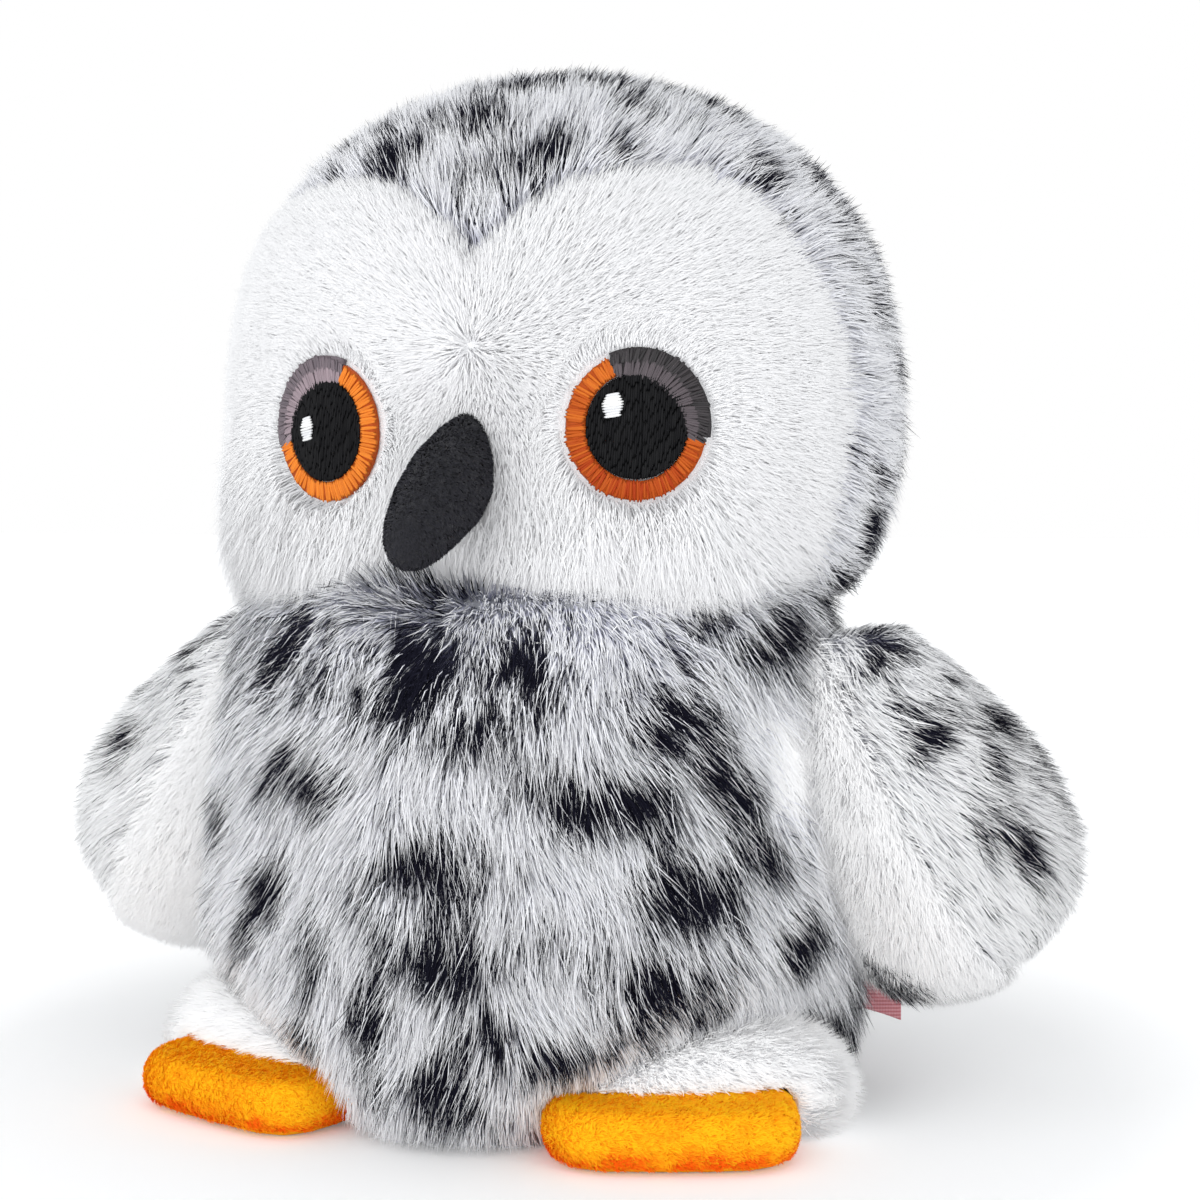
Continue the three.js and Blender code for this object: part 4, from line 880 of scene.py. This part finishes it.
# %% Roots and flow of the face pile
NEAR_EDGE = (  # the white pile's edge on the near side: pixels down, then across
    (188, 201, 233, 298, 343, 407, 465, 543, 569, 595),
    (720, 752, 785, 826, 846, 853, 843, 823, 804, 759),
)
EDGE_LEAN = 14  # pixels that the white pile leans out past its roots
EYE_RADIUS = 11.6 * MM  # no pile grows this near to the middle of an eye

rng = np.random.default_rng(13)
eye_centres = [np.array(sum(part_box(f"eye_{side}_pupil"), Vector()) / 2) for side in SIDES]
roots, normals = scatter(skins["face"], DENSITY["face"], rng)
front = dots(normals, unit(roots - head_centre)) > 0.3
roots, normals = roots[front], normals[front]
to_eye = np.full(len(roots), 1.0)
flow = unit(roots - face_middle)
for eye_centre in eye_centres:
    offset = roots - eye_centre
    distance = np.linalg.norm(offset, axis=1)
    near_eye = np.clip(1 - (distance - 11 * MM) / (7 * MM), 0, 1)[:, None]
    flow = flow * (1 - near_eye) + unit(offset) * near_eye
    to_eye = np.minimum(to_eye, distance)
kept = to_eye > EYE_RADIUS
beak_tree = tree_of("beak")
kept &= reach(beak_tree, roots, normals, 6 * MM) > 1.5 * MM
roots, normals, flow, to_eye = roots[kept], normals[kept], flow[kept], to_eye[kept]
print("face roots", len(roots))

# %% Length and edges of the face pile
length = np.interp(to_eye / MM, [11, 16, 26], [2.0, 3.6, 5.0])
beak_middle = np.array(sum(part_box("beak"), Vector()) / 2)
to_beak = np.linalg.norm((roots - beak_middle) * [1, 0, 1], axis=1)
length *= np.interp(to_beak / MM, [8, 20], [0.4, 1])
level_flow = unit(flow - normals * dots(flow, normals)[:, None])
edge = np.zeros(len(roots))
for step in (2, 4, 6, 8):
    ahead = roots + level_flow * step * MM
    off = distance_to(face_tree, ahead)
    edge = np.maximum(edge, np.clip((off - 0.5 - step * 0.06) / 1.5, 0, 1) * (1 - (step - 2) / 8))
above = np.clip((roots[:, 2] / MM - 100) / 14, 0, 1)
sides = np.interp(normals[:, 0], [-0.95, -0.6], [1.8, 0])
ragged = (1 + 0.3 * patchy(roots, 5 * MM)) * np.interp(roots[:, 0] / MM, [28, 44], [1, 0.1])
length += sides * (1 - above) + np.interp(roots[:, 2] / MM, [86, 91, 108], [9, 6.5, 0]) * ragged
length *= 1 - 0.72 * above * edge
lean = edge * above
fringe = np.interp(roots[:, 2] / MM, [88, 108], [1, 0]) * np.clip(ragged, 0, 1)
length += fringe * (np.interp(roots[:, 0] / MM, [-2, 12], [0, 3]) + rng.uniform(-2, 2, len(roots)))
level_out = unit(normals * [1, 1, 0] + unit(roots * [1, 1, 0]) * 0.3)
flow = flow * (1 - fringe[:, None]) + (level_out * 0.2 + [0, 0, -1.0]) * fringe[:, None]
normals = unit(normals * (1 - fringe[:, None]) + level_out * fringe[:, None])
print("fringe strands", int((fringe > 0.5).sum()))

# %% The face pile's near edge
tones = rng.uniform(0, 0.4, len(roots)) ** 2
across, down = photo_places(roots)
white_edge = np.interp(down, *NEAR_EDGE) - EDGE_LEAN + rng.normal(0, 5, len(roots))
margin = (across > white_edge) & (roots[:, 0] > 25 * MM)
keep = ~margin
lift = ((56 + 24 * lean + 14 * fringe)[keep], (28 + 44 * lean - 12 * fringe)[keep])
pile("face_pile", "root", face_pile, roots[keep], normals[keep], flow[keep], length[keep] * MM, tones[keep],
     rng, width=0.2 * MM, lift=lift, clump=0.1, clump_size=12, wild=0.26, fuzz=0.05, block=beak_tree)

# %% Speckled pile at the near edge of the face
TUFT_LEAN = 4 * MM  # a tuft shows this far past its roots, because its strands lean out
OWL_SHARE = 0.55  # the speckled pile is this much thinner than the face's

keep = margin & (rng.random(len(roots)) < OWL_SHARE)
roots, normals, flow = roots[keep], normals[keep], flow[keep]
shown_at = roots + level_flow[keep] * TUFT_LEAN
level = np.clip(darkness(shown_at, flow, normals, head_tufts) * 1.7, 0, 1)
level = np.maximum(level, strewn(roots, 5, 2.0, 0.55, 0.9))
pile("temple_pile", "root", owl_pile, roots, normals, flow, np.full(len(roots), 8 * MM),
     tones_of(level, rng, haze=0.015, grey=0.09), rng, lift=(54, 20), sweep=0.6)

# %% [markdown]
# ### Wings
# A wing is a flat bag, barred plush outside and white plush inside. Its pile runs down to
# the tip. It is a piece of its own for each wing, so that it rides on the wing's hinge.

# %% Wing pile
WING_TOP = np.array([42, 9, 83]) * MM  # of the left wing
WING_SPREAD = math.radians(29)

for side, sign in SIDES.items():
    rng = np.random.default_rng(14)
    top = WING_TOP * [sign, 1, 1]
    down = np.array([sign * math.sin(WING_SPREAD), 0, -math.cos(WING_SPREAD)])
    piece = skins[f"wing_{side}_pad"]
    wing_tufts = list(tufts_seen)
    for bearing, along in staggered(rng, 6, 8, (110, 22, 6, 11), (8, 11.5, 2)):
        if bearing < 250:
            centre = on_form(piece, top + down * along * MM, bearing)
            wing_tufts.append((centre, rng.uniform(3.5, 6), rng.uniform(3, 5), 0.9))
    roots, normals = scatter(piece, DENSITY["wing"], rng)
    lining_tree = tree_of(f"wing_{side}_lining")
    bare = reach(lining_tree, roots, normals, 4 * MM) > 3.9 * MM
    inside = tree_of("body", "head")
    bare &= reach(inside, roots, normals, 3 * MM) > 2.9 * MM
    roots, normals = roots[bare], normals[bare]
    along = dots(roots - top, np.tile(down, (len(roots), 1))) / MM
    loose = np.interp(along, [4, 30], [0.1, 1])[:, None]
    flow = down + (unit(roots - top) * 0.4 + np.array([sign * 0.3, 0, 0])) * loose
    level = darkness(roots, flow, normals, wing_tufts)
    level = np.maximum(level * 1.2, strewn(roots + 0.5, 4.2, 2.8, 0.6, 0.95, drawn=0.45))
    to_lining = distance_to(lining_tree, roots)
    level *= np.clip(to_lining / 5 - 0.4, 0.1, 1) * np.interp(along, [53, 60], [1, 0.15])
    tones = tones_of(level, rng, haze=0.005, grey=0.04)
    cap = np.clip(dots(normals, np.tile(-down, (len(roots), 1))), 0, 1)
    length = np.interp(along, [0, 14, 40, 54, 66], [7, 8.5, 10, 8.5, 5]) * (1 - 0.6 * cap) * MM
    outer = np.clip(normals[:, 0] * sign, 0, 1) * np.interp(along, [0, 14, 36], [-1.6, -0.8, 0.6])
    pile(f"wing_{side}_pile", f"wing_{side}", wing_pile, roots, normals, flow,
         length, tones, rng, lift=(52 + 20 * outer, 22 + 30 * outer), sweep=0.6,
         block=tree_of("body", "head", "face", f"wing_{side}_lining"))
    roots, normals = scatter(skins[f"wing_{side}_lining"], DENSITY["lining"], rng)
    outside = reach(tree_of(f"wing_{side}_pad"), roots, -normals, 4 * MM) < 3.9 * MM
    roots, normals = roots[outside], normals[outside]
    flow = np.tile(down + np.array([0, -0.3, 0]), (len(roots), 1))
    along = dots(roots - top, np.tile(down, (len(roots), 1))) / MM
    length = np.interp(along, [0, 40, 68], [6, 5.5, 4]) * MM
    tones = rng.uniform(0, 0.4, len(roots)) ** 2
    pile(f"wing_{side}_lining_pile", f"wing_{side}", lining_pile, roots, normals, flow,
         length, tones, rng, width=0.2 * MM, lift=(70, 48), clump=0.15, wild=0.4, fuzz=0.12,
         block=tree_of("body"))

# %% Black tuft under the near wing
TUFT_SEEN = (884, 962)  # pixels across and down in the photograph
TUFT_RADIUS = 4 * MM
TUFT_LENGTH = 6.5 * MM

near_tip = seen_at(*TUFT_SEEN, [skins["wing_left_lining"]])
rng = np.random.default_rng(17)
roots, normals = scatter(skins["wing_left_lining"], DENSITY["tuft"], rng)
offset = (roots - near_tip) / TUFT_RADIUS
kept = rng.random(len(roots)) < np.exp(-((offset**2).sum(1) ** 1.5))
roots, normals = roots[kept], normals[kept]
flow = np.tile([0.8, -0.2, -0.6], (len(roots), 1))
tones = tones_of(np.full(len(roots), 0.7), rng)
pile("wing_left_tuft", "wing_left", owl_pile, roots, normals, flow,
     np.full(len(roots), TUFT_LENGTH), tones, rng, lift=(45, 15), block=tree_of("body"))

# %% [markdown]
# ### Cuffs and feet
# White fluff stands out round each foot. The foot itself is brushed felt, whose fibres are
# a millimetre long. They are painted redder toward the ground, as painted shade where the light hardly
# reaches.

# %% Cuff and foot pile
FELT_LENGTH = 1.2 * MM

for side, sign in SIDES.items():
    rng = np.random.default_rng(15)
    roots, normals = scatter(skins[f"cuff_{side}"], DENSITY["cuff"], rng)
    kept = reach(tree_of("body", f"foot_{side}"), roots, normals, 2 * MM) > 1.9 * MM
    kept &= ~((roots[:, 2] < 1.5 * MM) & (normals[:, 2] < -0.4))
    roots, normals = roots[kept], normals[kept]
    flow = np.array([0, 0, 0.1]) + unit(roots * [1, 1, 0])
    tones = rng.uniform(0, 0.4, len(roots)) ** 2
    to_foot = distance_to(tree_of(f"foot_{side}"), roots)
    length = np.interp(to_foot, [0.5, 3, 8], [2.4, 4.5, 7.0]) * MM
    pile(f"cuff_{side}_pile", "root", cuff_pile, roots, normals, flow, length, tones, rng,
         width=0.18 * MM, lift=(70, 45), clump=0.3, wild=0.5, fuzz=0.08,
         block=tree_of("body", f"foot_{side}"))
    roots, normals = scatter(skins[f"foot_{side}"], DENSITY["foot"], rng)
    kept = ~((roots[:, 2] < 1.0 * MM) & (normals[:, 2] < -0.4))
    kept &= reach(tree_of("body", f"cuff_{side}"), roots, normals, 2 * MM) > 1.9 * MM
    roots, normals = roots[kept], normals[kept]
    # painted shade: the felt turns redder toward the ground
    ground_shade = np.clip(1.6 - roots[:, 2] / (2.8 * MM) + 0.5 * patchy(roots, 3 * MM), 0, 1)
    knit = 0.3 * patchy(roots * [0.35, 0.35, 1], 1.1 * MM, drawn=1) + 0.25 * patchy(roots, 5 * MM)
    tones = np.clip(ground_shade * 0.75 + rng.uniform(0, 0.3, len(roots)) + knit, 0, 1)
    flow = np.tile([1.0, 0.3 * sign, 0], (len(roots), 1)) + rng.normal(0, 0.5, (len(roots), 3))
    pile(f"foot_{side}_pile", "root", foot_pile, roots, normals, flow,
         np.full(len(roots), FELT_LENGTH), tones, rng, width=0.17 * MM, lift=(30, 14), wild=0.6,
         fuzz=0.15)

# %% [markdown]
# ### Flap
# The flap that closes the pocket is cut from the body's plush, so it has the same bars, and
# its pile swings with it. Toward its sewn upper edge the strands get shorter.

# %% Flap pile
FLAP_REACH = 60  # millimetres from the owl's axis, a little outside the flap

rng = np.random.default_rng(16)
flap_tufts = []
for bearing, height in staggered(rng, 6, 6, (135, 18, 3, 9), (12, 12.5, 2)):
    angle = math.radians(bearing)
    place = Vector((math.sin(angle) * FLAP_REACH, -math.cos(angle) * FLAP_REACH, height)) * MM
    centre = np.array(skins["pocket_flap"].closest_point_on_mesh(place)[1])
    flap_tufts.append((centre, rng.uniform(5, 7.5), rng.uniform(4, 6), 0.95))
roots, normals = scatter(skins["pocket_flap"], DENSITY["flap"], rng)
outward = unit(roots * [1, 1, 0])
kept = dots(outward, normals) > 0.3
roots, normals = roots[kept], normals[kept]
flow = np.tile([0, 0, -1.0], (len(roots), 1))
level = darkness(roots, flow, normals, flap_tufts)
length = np.interp(roots[:, 2] / MM, [46, 74], [11, 4]) * MM
pile("flap_pile", "flap", owl_pile, roots, normals, flow, length, tones_of(level, rng), rng,
     lift=(45, 12), block=tree_of("head"))

# %% [markdown]
# ## Stitched eyes
# The eyes are embroidery. Satin stitches lie side by side across the iris and the eyelid,
# short fill stitches cover the pupil, and a few white ones make the glint. Each stitch is a
# little rounded bar of thread that dives into the cloth at both ends. One bar is modelled
# from a sphere, and each eye's stitches are copies of it along lines on the curved face.

# %% One stitch
bpy.ops.mesh.primitive_uv_sphere_add(segments=6, ring_count=6, radius=1)
stitch = bpy.context.object
stitch.name = "stitch"
bpy.ops.object.mode_set(mode="EDIT")
bpy.ops.mesh.select_all(action="SELECT")
bpy.ops.transform.rotate(value=math.pi / 2, orient_axis="Y", center_override=(0, 0, 0))
bpy.ops.object.mode_set(mode="OBJECT")
stitch_corners = np.array([v.co for v in stitch.data.vertices])
stitch_corners[:, 0] = np.sign(stitch_corners[:, 0]) * np.abs(stitch_corners[:, 0]) ** 0.55
stitch_faces = [list(p.vertices) for p in stitch.data.polygons]
bpy.data.objects.remove(stitch)
print("stitch", len(stitch_corners), "corners", len(stitch_faces), "faces")


# %% Thread materials
def thread_material(name, pale, deep, shine=0.3):
    """Thread colour by stitch, with painted shade where it dives into the cloth."""
    made = material(name, pale, 0.5, specular=shine)
    where = pile_map(made)
    tone = ramp(made, where["X"], [(0, pale), (1, deep)])
    end_shade, full = (0.35, 0.35, 0.35), (1, 1, 1)
    ends = ramp(made, where["Y"], [(0, end_shade), (0.15, full), (0.85, full), (1, end_shade)])
    blend = add(made.node_tree, "Mix", {0: 1}, {6: tone, 7: ends}, data_type="RGBA", blend_type="MULTIPLY")
    feed(made, "Base Color", blend.outputs[2])
    return made


iris_thread = thread_material("iris_thread", (0.88, 0.26, 0.03), (0.40, 0.045, 0.006), shine=0.12)
pupil_thread = thread_material("pupil_thread", (0.010, 0.010, 0.011), (0.003, 0.003, 0.004), shine=0.1)
# painted light: the two eyelids are one thread; the far right one, facing the key light, is paler, the near
# left one darker
lid_threads = {
    "left": thread_material("lid_left_shaded_thread", (0.11, 0.09, 0.10), (0.022, 0.021, 0.022)),
    "right": thread_material("lid_right_lit_thread", (0.36, 0.28, 0.31), (0.12, 0.10, 0.115)),
}
glint_thread = thread_material("glint_thread", (0.93, 0.93, 0.92), (0.74, 0.75, 0.78))


# %% Stitches on the face
EYE_TURN = math.radians(33)
EYE_WIDTH_SHARE = 0.93  # an eye is a little narrower than it is tall
THREAD_TOP = 1.1 * MM  # of the CAD patches, above the face's cloth

eye_cloth = tree_of("face")


def eye_axes(side):
    """Right, up and outward as one looks at an eye, and the middle of its pupil."""
    sign = SIDES[side]
    outward = Vector((sign * math.sin(EYE_TURN), -math.cos(EYE_TURN), 0))
    up = Vector((0, 0, 1))
    right = up.cross(outward)
    places = [v.co for v in nodes[f"eye_{side}_pupil"].data.vertices]
    spans = [[place.dot(way) for place in places] for way in (right, up, outward)]
    middle = right * (min(spans[0]) + max(spans[0])) / 2 + up * (min(spans[1]) + max(spans[1])) / 2
    return right, up, outward, middle + outward * (max(spans[2]) + 10 * MM)


def stitched(name, node, side, lines, width, finish, padded=True, proud=0.0):
    """A patch of thread: the CAD patch as padding, and a bar of thread along each line."""
    right, up, outward, middle = eye_axes(side)
    bars = []
    for (x0, z0), (x1, z1), shade in lines:
        ends = []
        for x, z in ((x0, z0), (x1, z1)):
            start = middle + right * x * EYE_WIDTH_SHARE + up * z
            place, facing = eye_cloth.ray_cast(start, -outward)[:2]
            ends.append(place + facing * (THREAD_TOP + proud))
        along = (ends[1] - ends[0]) / 2
        across = along.cross(outward).normalized() * width / 2
        out = across.cross(along).normalized() * width * 0.42
        if out.dot(outward) < 0:
            out = -out
        bar = stitch_corners @ np.array([along, across, out])
        bar += np.array((ends[0] + ends[1]) / 2 + outward * width * 0.3)
        bars.append((bar, shade))
    patch = copy_of_node(name, node)
    places, faces = [], []
    if padded:
        places = [v.co.copy() for v in patch.data.vertices]
        faces = [list(p.vertices) for p in patch.data.polygons]
    tones = [0.85] * len(faces)
    heights = [0.5] * len(places)
    for bar, shade in bars:
        start = len(places)
        places += [Vector(c) for c in bar]
        faces += [[start + i for i in face] for face in stitch_faces]
        tones += [shade] * len(stitch_faces)
        heights += list((stitch_corners[:, 0] + 1) / 2)
    bpy.data.objects.remove(patch)
    mesh = bpy.data.meshes.new(name)
    mesh.from_pydata(places, [], faces)
    piece = bpy.data.objects.new(name, mesh)
    bpy.context.scene.collection.objects.link(piece)
    layer = mesh.uv_layers.new(name=PILE_MAP)
    for face, tone in zip(mesh.polygons, tones):
        for i, loop in enumerate(face.loop_indices):
            corner = mesh.loops[loop].vertex_index
            layer.data[loop].uv = (0.02 + 0.95 * tone + 0.004 * (i % 3), 0.02 + 0.96 * heights[corner])
    bpy.ops.object.select_all(action="DESELECT")
    bpy.context.view_layer.objects.active = piece
    piece.select_set(True)
    bpy.ops.object.mode_set(mode="EDIT")
    bpy.ops.mesh.select_all(action="SELECT")
    bpy.ops.mesh.normals_make_consistent(inside=False)
    bpy.ops.object.mode_set(mode="OBJECT")
    bpy.ops.object.shade_smooth()
    piece.select_set(False)
    mesh.materials.append(finish)
    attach(piece, "root")
    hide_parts(node)
    return piece


# %% Sew both eyes
PITCH = 0.40 * MM
PUPIL = 8.0 * MM
for side, sign in SIDES.items():
    rng = np.random.default_rng(21)
    ring = []
    inner, outer = PUPIL + 0.2 * MM, PUPIL + 3.15 * MM
    start, end = (114, 350) if sign > 0 else (-170, 66)
    for angle in np.arange(start, end, math.degrees(PITCH / (outer - MM)) * 0.92):
        a = math.radians(angle + rng.uniform(-0.8, 0.8))
        lean = math.radians(rng.uniform(-2.5, 2.5))
        r0, r1 = inner + rng.uniform(-0.3, 0.2) * MM, outer + rng.uniform(-0.35, 0.25) * MM
        # Stitch tones vary at random; besides, as painted light, the near eye's stitches are deep and paler
        # toward the top, and the far eye's are all pale, as the key light falls on them.
        ring.append((
            (r0 * math.cos(a), r0 * math.sin(a)),
            (r1 * math.cos(a + lean), r1 * math.sin(a + lean)),
            rng.uniform(0.55, 0.9) - 0.2 * math.sin(a) if sign > 0 else rng.uniform(0, 0.3),
        ))
    stitched(f"eye_{side}_iris_thread", f"eye_{side}_iris", side, ring, PITCH * 1.25, iris_thread)
    lid = []
    start, end = (-10, 116) if sign > 0 else (64, 190)
    for angle in np.arange(start, end, math.degrees(PITCH / (PUPIL + 2 * MM)) * 0.9):
        share = (angle - start) / (end - start)
        bulge = math.sin(math.pi * min(max(share, 0), 1)) ** 0.7
        a = math.radians(angle + rng.uniform(-0.8, 0.8))
        lean = math.radians(-sign * 4 + rng.uniform(-2, 2))
        low_edge, high_edge = PUPIL + (0.3 - 1.6 * bulge) * MM, PUPIL + (3.1 + 0.9 * bulge) * MM
        for r0, r1, low_tone in (
            (low_edge, low_edge * 0.4 + high_edge * 0.6, 0.0),
            (low_edge * 0.55 + high_edge * 0.45, high_edge, 0.7),
        ):
            r0 += rng.uniform(-0.25, 0.25) * MM
            r1 += rng.uniform(-0.2, 0.3) * MM
            lid.append((
                (r0 * math.cos(a), r0 * math.sin(a)),
                (r1 * math.cos(a + lean), r1 * math.sin(a + lean)), low_tone + rng.uniform(0, 0.3),
            ))
    stitched(f"eye_{side}_eyelid_thread", f"eye_{side}_eyelid", side, lid, PITCH * 1.25,
             lid_threads[side])
    fill = []
    for x in np.arange(-PUPIL + PITCH / 2, PUPIL, PITCH * 0.9):
        half = math.sqrt(max(PUPIL**2 - x * x, 0))
        z = -half - rng.uniform(0, 2) * MM
        while z < half:
            z1 = z + rng.uniform(2.2, 3.4) * MM
            low_z, high_z = max(z, -half), min(z1, half)
            if high_z - low_z > 0.5 * MM:
                fill.append(((x, low_z), (x + 0.15 * MM, high_z), rng.uniform(0, 1)))
            z = z1
    stitched(f"eye_{side}_pupil_thread", f"eye_{side}_pupil", side, fill, PITCH * 1.2, pupil_thread)
    glint = []
    low_corner, high_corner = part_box(f"eye_{side}_highlight")
    right, _, _, middle = eye_axes(side)
    across = [v.co.dot(right) for v in nodes[f"eye_{side}_highlight"].data.vertices]
    x0 = (min(across) + max(across)) / 2 - middle.dot(right)
    z0 = (low_corner.z + high_corner.z) / 2 - middle.z
    for i in range(-4, 5):
        half = 1.75 * MM - 0.12 * MM * abs(i) + rng.uniform(-0.15, 0.15) * MM
        z = z0 + i * PITCH
        glint.append(((x0 - half, z - 0.2 * MM), (x0 + half, z + 0.2 * MM), rng.uniform(0, 0.7)))
    stitched(f"eye_{side}_glint_thread", f"eye_{side}_highlight", side, glint, PITCH * 1.2, glint_thread,
             padded=False, proud=0.3 * MM)
print("eyes sewn")

# %% [markdown]
# ## Beak
# The beak is a little stuffed bag of charcoal suede. Its skin is remeshed finely, and a
# very short nap stands on it, so that its edge is soft against the light.

# %% Beak
SUEDE_STOPS = [(0.3, (0.018, 0.018, 0.021)), (0.7, (0.042, 0.042, 0.048))]
NAP_LENGTH = 0.7 * MM

beak_suede = ground_cloth(
    "beak_suede", (0.028, 0.028, 0.032), 0.92, SUEDE_STOPS,
    patch=1400, grain=4000, height=0.0002, specular=0.15, sheen=0.1,
)
skins["beak"] = skin("beak", "root", 0.5, 6, beak_suede)
rng = np.random.default_rng(22)
roots, normals = scatter(skins["beak"], DENSITY["beak"], rng)
front = reach(tree_of("face", "head"), roots, normals, 2 * MM) > 1.9 * MM
roots, normals = roots[front], normals[front]
flow = np.tile([0, 0.2, -1.0], (len(roots), 1)) + rng.normal(0, 0.4, (len(roots), 3))
pile("beak_nap", "root", beak_pile, roots, normals, flow, np.full(len(roots), NAP_LENGTH),
     rng.uniform(0, 1, len(roots)), rng, width=0.14 * MM, lift=(45, 30), clump=0.1, wild=0.6)

# %% [markdown]
# ## Label
# The blank label is a woven tape folded over in the side seam. Its ribs are woven across
# it, and it droops a little toward its end.

# %% Label
LABEL_DROOP = 3.0 * MM

label_weave = material("label_weave", (0.72, 0.30, 0.33), 0.75, specular=0.2, sheen=0.2)
rib = wave(label_weave, 520, "Z")
pick = wave(label_weave, 700, "X")
paint(label_weave, rib, [(0.2, (0.62, 0.20, 0.23)), (0.8, (0.80, 0.38, 0.41))])
bump(label_weave, mean(label_weave, rib, pick), 0.00012)
label = copy_of_node("label_tape", "seam_label")
even_faces(label, 0.35 * MM)
finish_modifiers(label)
label_low, label_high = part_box("seam_label")
for vertex in label.data.vertices:
    share = (vertex.co.x - label_low.x) / (label_high.x - label_low.x)
    vertex.co.z -= share**2 * LABEL_DROOP
bpy.ops.object.shade_smooth()
label.data.materials.append(label_weave)
label.select_set(False)
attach(label, "root")
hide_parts("seam_label")
print("label", len(label.data.polygons))

# %% [markdown]
# ## Hard finishes
# The moulded and metal pieces keep their CAD shapes. Each finish has the grain of how it is
# made: spark-eroded plastic, drawn and turned steel, a lacquered circuit board with copper
# tracks under green resin, and the crinkled film round the battery.

# %% Finishes of the module
def moulded(name, pale, deep, low, high, grain=2600, depth=0.00003):
    """Moulded plastic: a drift of colour, patches of polish and a fine eroded grain."""
    made = material(name, pale, low, specular=0.45)
    paint(made, noise(made, 90, detail=4), [(0.3, pale), (0.75, deep)])
    rough(made, noise(made, 420, detail=5), low, high)
    bump(made, noise(made, grain, detail=2), depth)
    return made


def grained(name, color, stops, low, high, height, grain, **shine):
    """One grain that shows in a finish's colour, its polish and, with a height, its surface."""
    made = material(name, color, low, **shine)
    source = noise(made, **grain)
    paint(made, source, stops)
    rough(made, source, low, high)
    if height:
        bump(made, source, height)
    return made


def board_finish():
    """Green resin over copper tracks that run in two directions."""
    made = material("board_resin", (0.01, 0.13, 0.05), 0.35, specular=0.5)
    tracks = mean(made, wave(made, 260, "X", 6), wave(made, 310, "Z", 9))
    paint(made, tracks, [
        (0.0, (0.006, 0.085, 0.035)),
        (0.62, (0.008, 0.11, 0.045)),
        (0.7, (0.03, 0.23, 0.09)),
        (1.0, (0.05, 0.27, 0.10)),
    ])
    rough(made, noise(made, 300), 0.28, 0.45)
    bump(made, tracks, 0.00004)
    return made


steel = grained(  # drawn: fine streaks
    "steel", (0.62, 0.63, 0.65), [(0.3, (0.50, 0.51, 0.53)), (0.7, (0.62, 0.63, 0.65))], 0.22, 0.38,
    0.00001, {"scale": 700, "detail": 6, "stretch": (1, 0.05, 1)}, specular=0.5, metallic=1.0,
)
cell_wrap = grained(  # shrunk film with soft crinkles
    "cell_wrap", (0.50, 0.53, 0.58), [(0.3, (0.40, 0.43, 0.48)), (0.7, (0.60, 0.63, 0.68))], 0.2, 0.45,
    0.00025, {"scale": 160, "detail": 5, "stretch": (1, 1, 0.35)}, specular=0.5, metallic=0.7,
)
strip_nylon = grained(  # hooks or loops: a tight field of little points
    "strip_nylon", (0.80, 0.80, 0.82), [(0.35, (0.55, 0.55, 0.58)), (0.65, (0.86, 0.86, 0.88))], 0.5, 0.8,
    0.0005, {"scale": 1900, "detail": 2}, specular=0.3, sheen=0.3,
)
lamp_plastic = grained(  # cloudy
    "lamp_plastic", (0.86, 0.90, 0.97), [(0.3, (0.80, 0.86, 0.97)), (0.7, (0.93, 0.95, 1.0))], 0.12, 0.3,
    None, {"scale": 800}, specular=0.6,
)
shader = lamp_plastic.node_tree.nodes["Principled BSDF"]
shader.inputs["Transmission Weight"].default_value = 0.35

# %% Dress the module
hard_finishes = {
    "case_plastic": moulded("case_plastic", (0.80, 0.81, 0.83), (0.72, 0.73, 0.76), 0.36, 0.52),
    "drive_plastic": moulded(
        "drive_plastic", (0.85, 0.83, 0.74), (0.79, 0.77, 0.68), 0.28, 0.42, grain=1800, depth=0.00001,
    ),
    "lever_plastic": moulded("lever_plastic", (0.028, 0.030, 0.034), (0.018, 0.019, 0.022), 0.35, 0.55),
    "chip_resin": moulded("chip_resin", (0.014, 0.014, 0.016), (0.022, 0.022, 0.024), 0.4, 0.6, grain=4000),
    "steel": steel,
    "board_resin": board_finish(),
    "cell_wrap": cell_wrap,
    "strip_nylon": strip_nylon,
    "lamp_plastic": lamp_plastic,
}
for node, slot in slot_of.items():
    if slot in hard_finishes:
        nodes[node].material_slots[0].material = hard_finishes[slot]
print("hard finishes", len(hard_finishes))

# %% Finish
bpy.context.scene.view_settings.view_transform = "Standard"
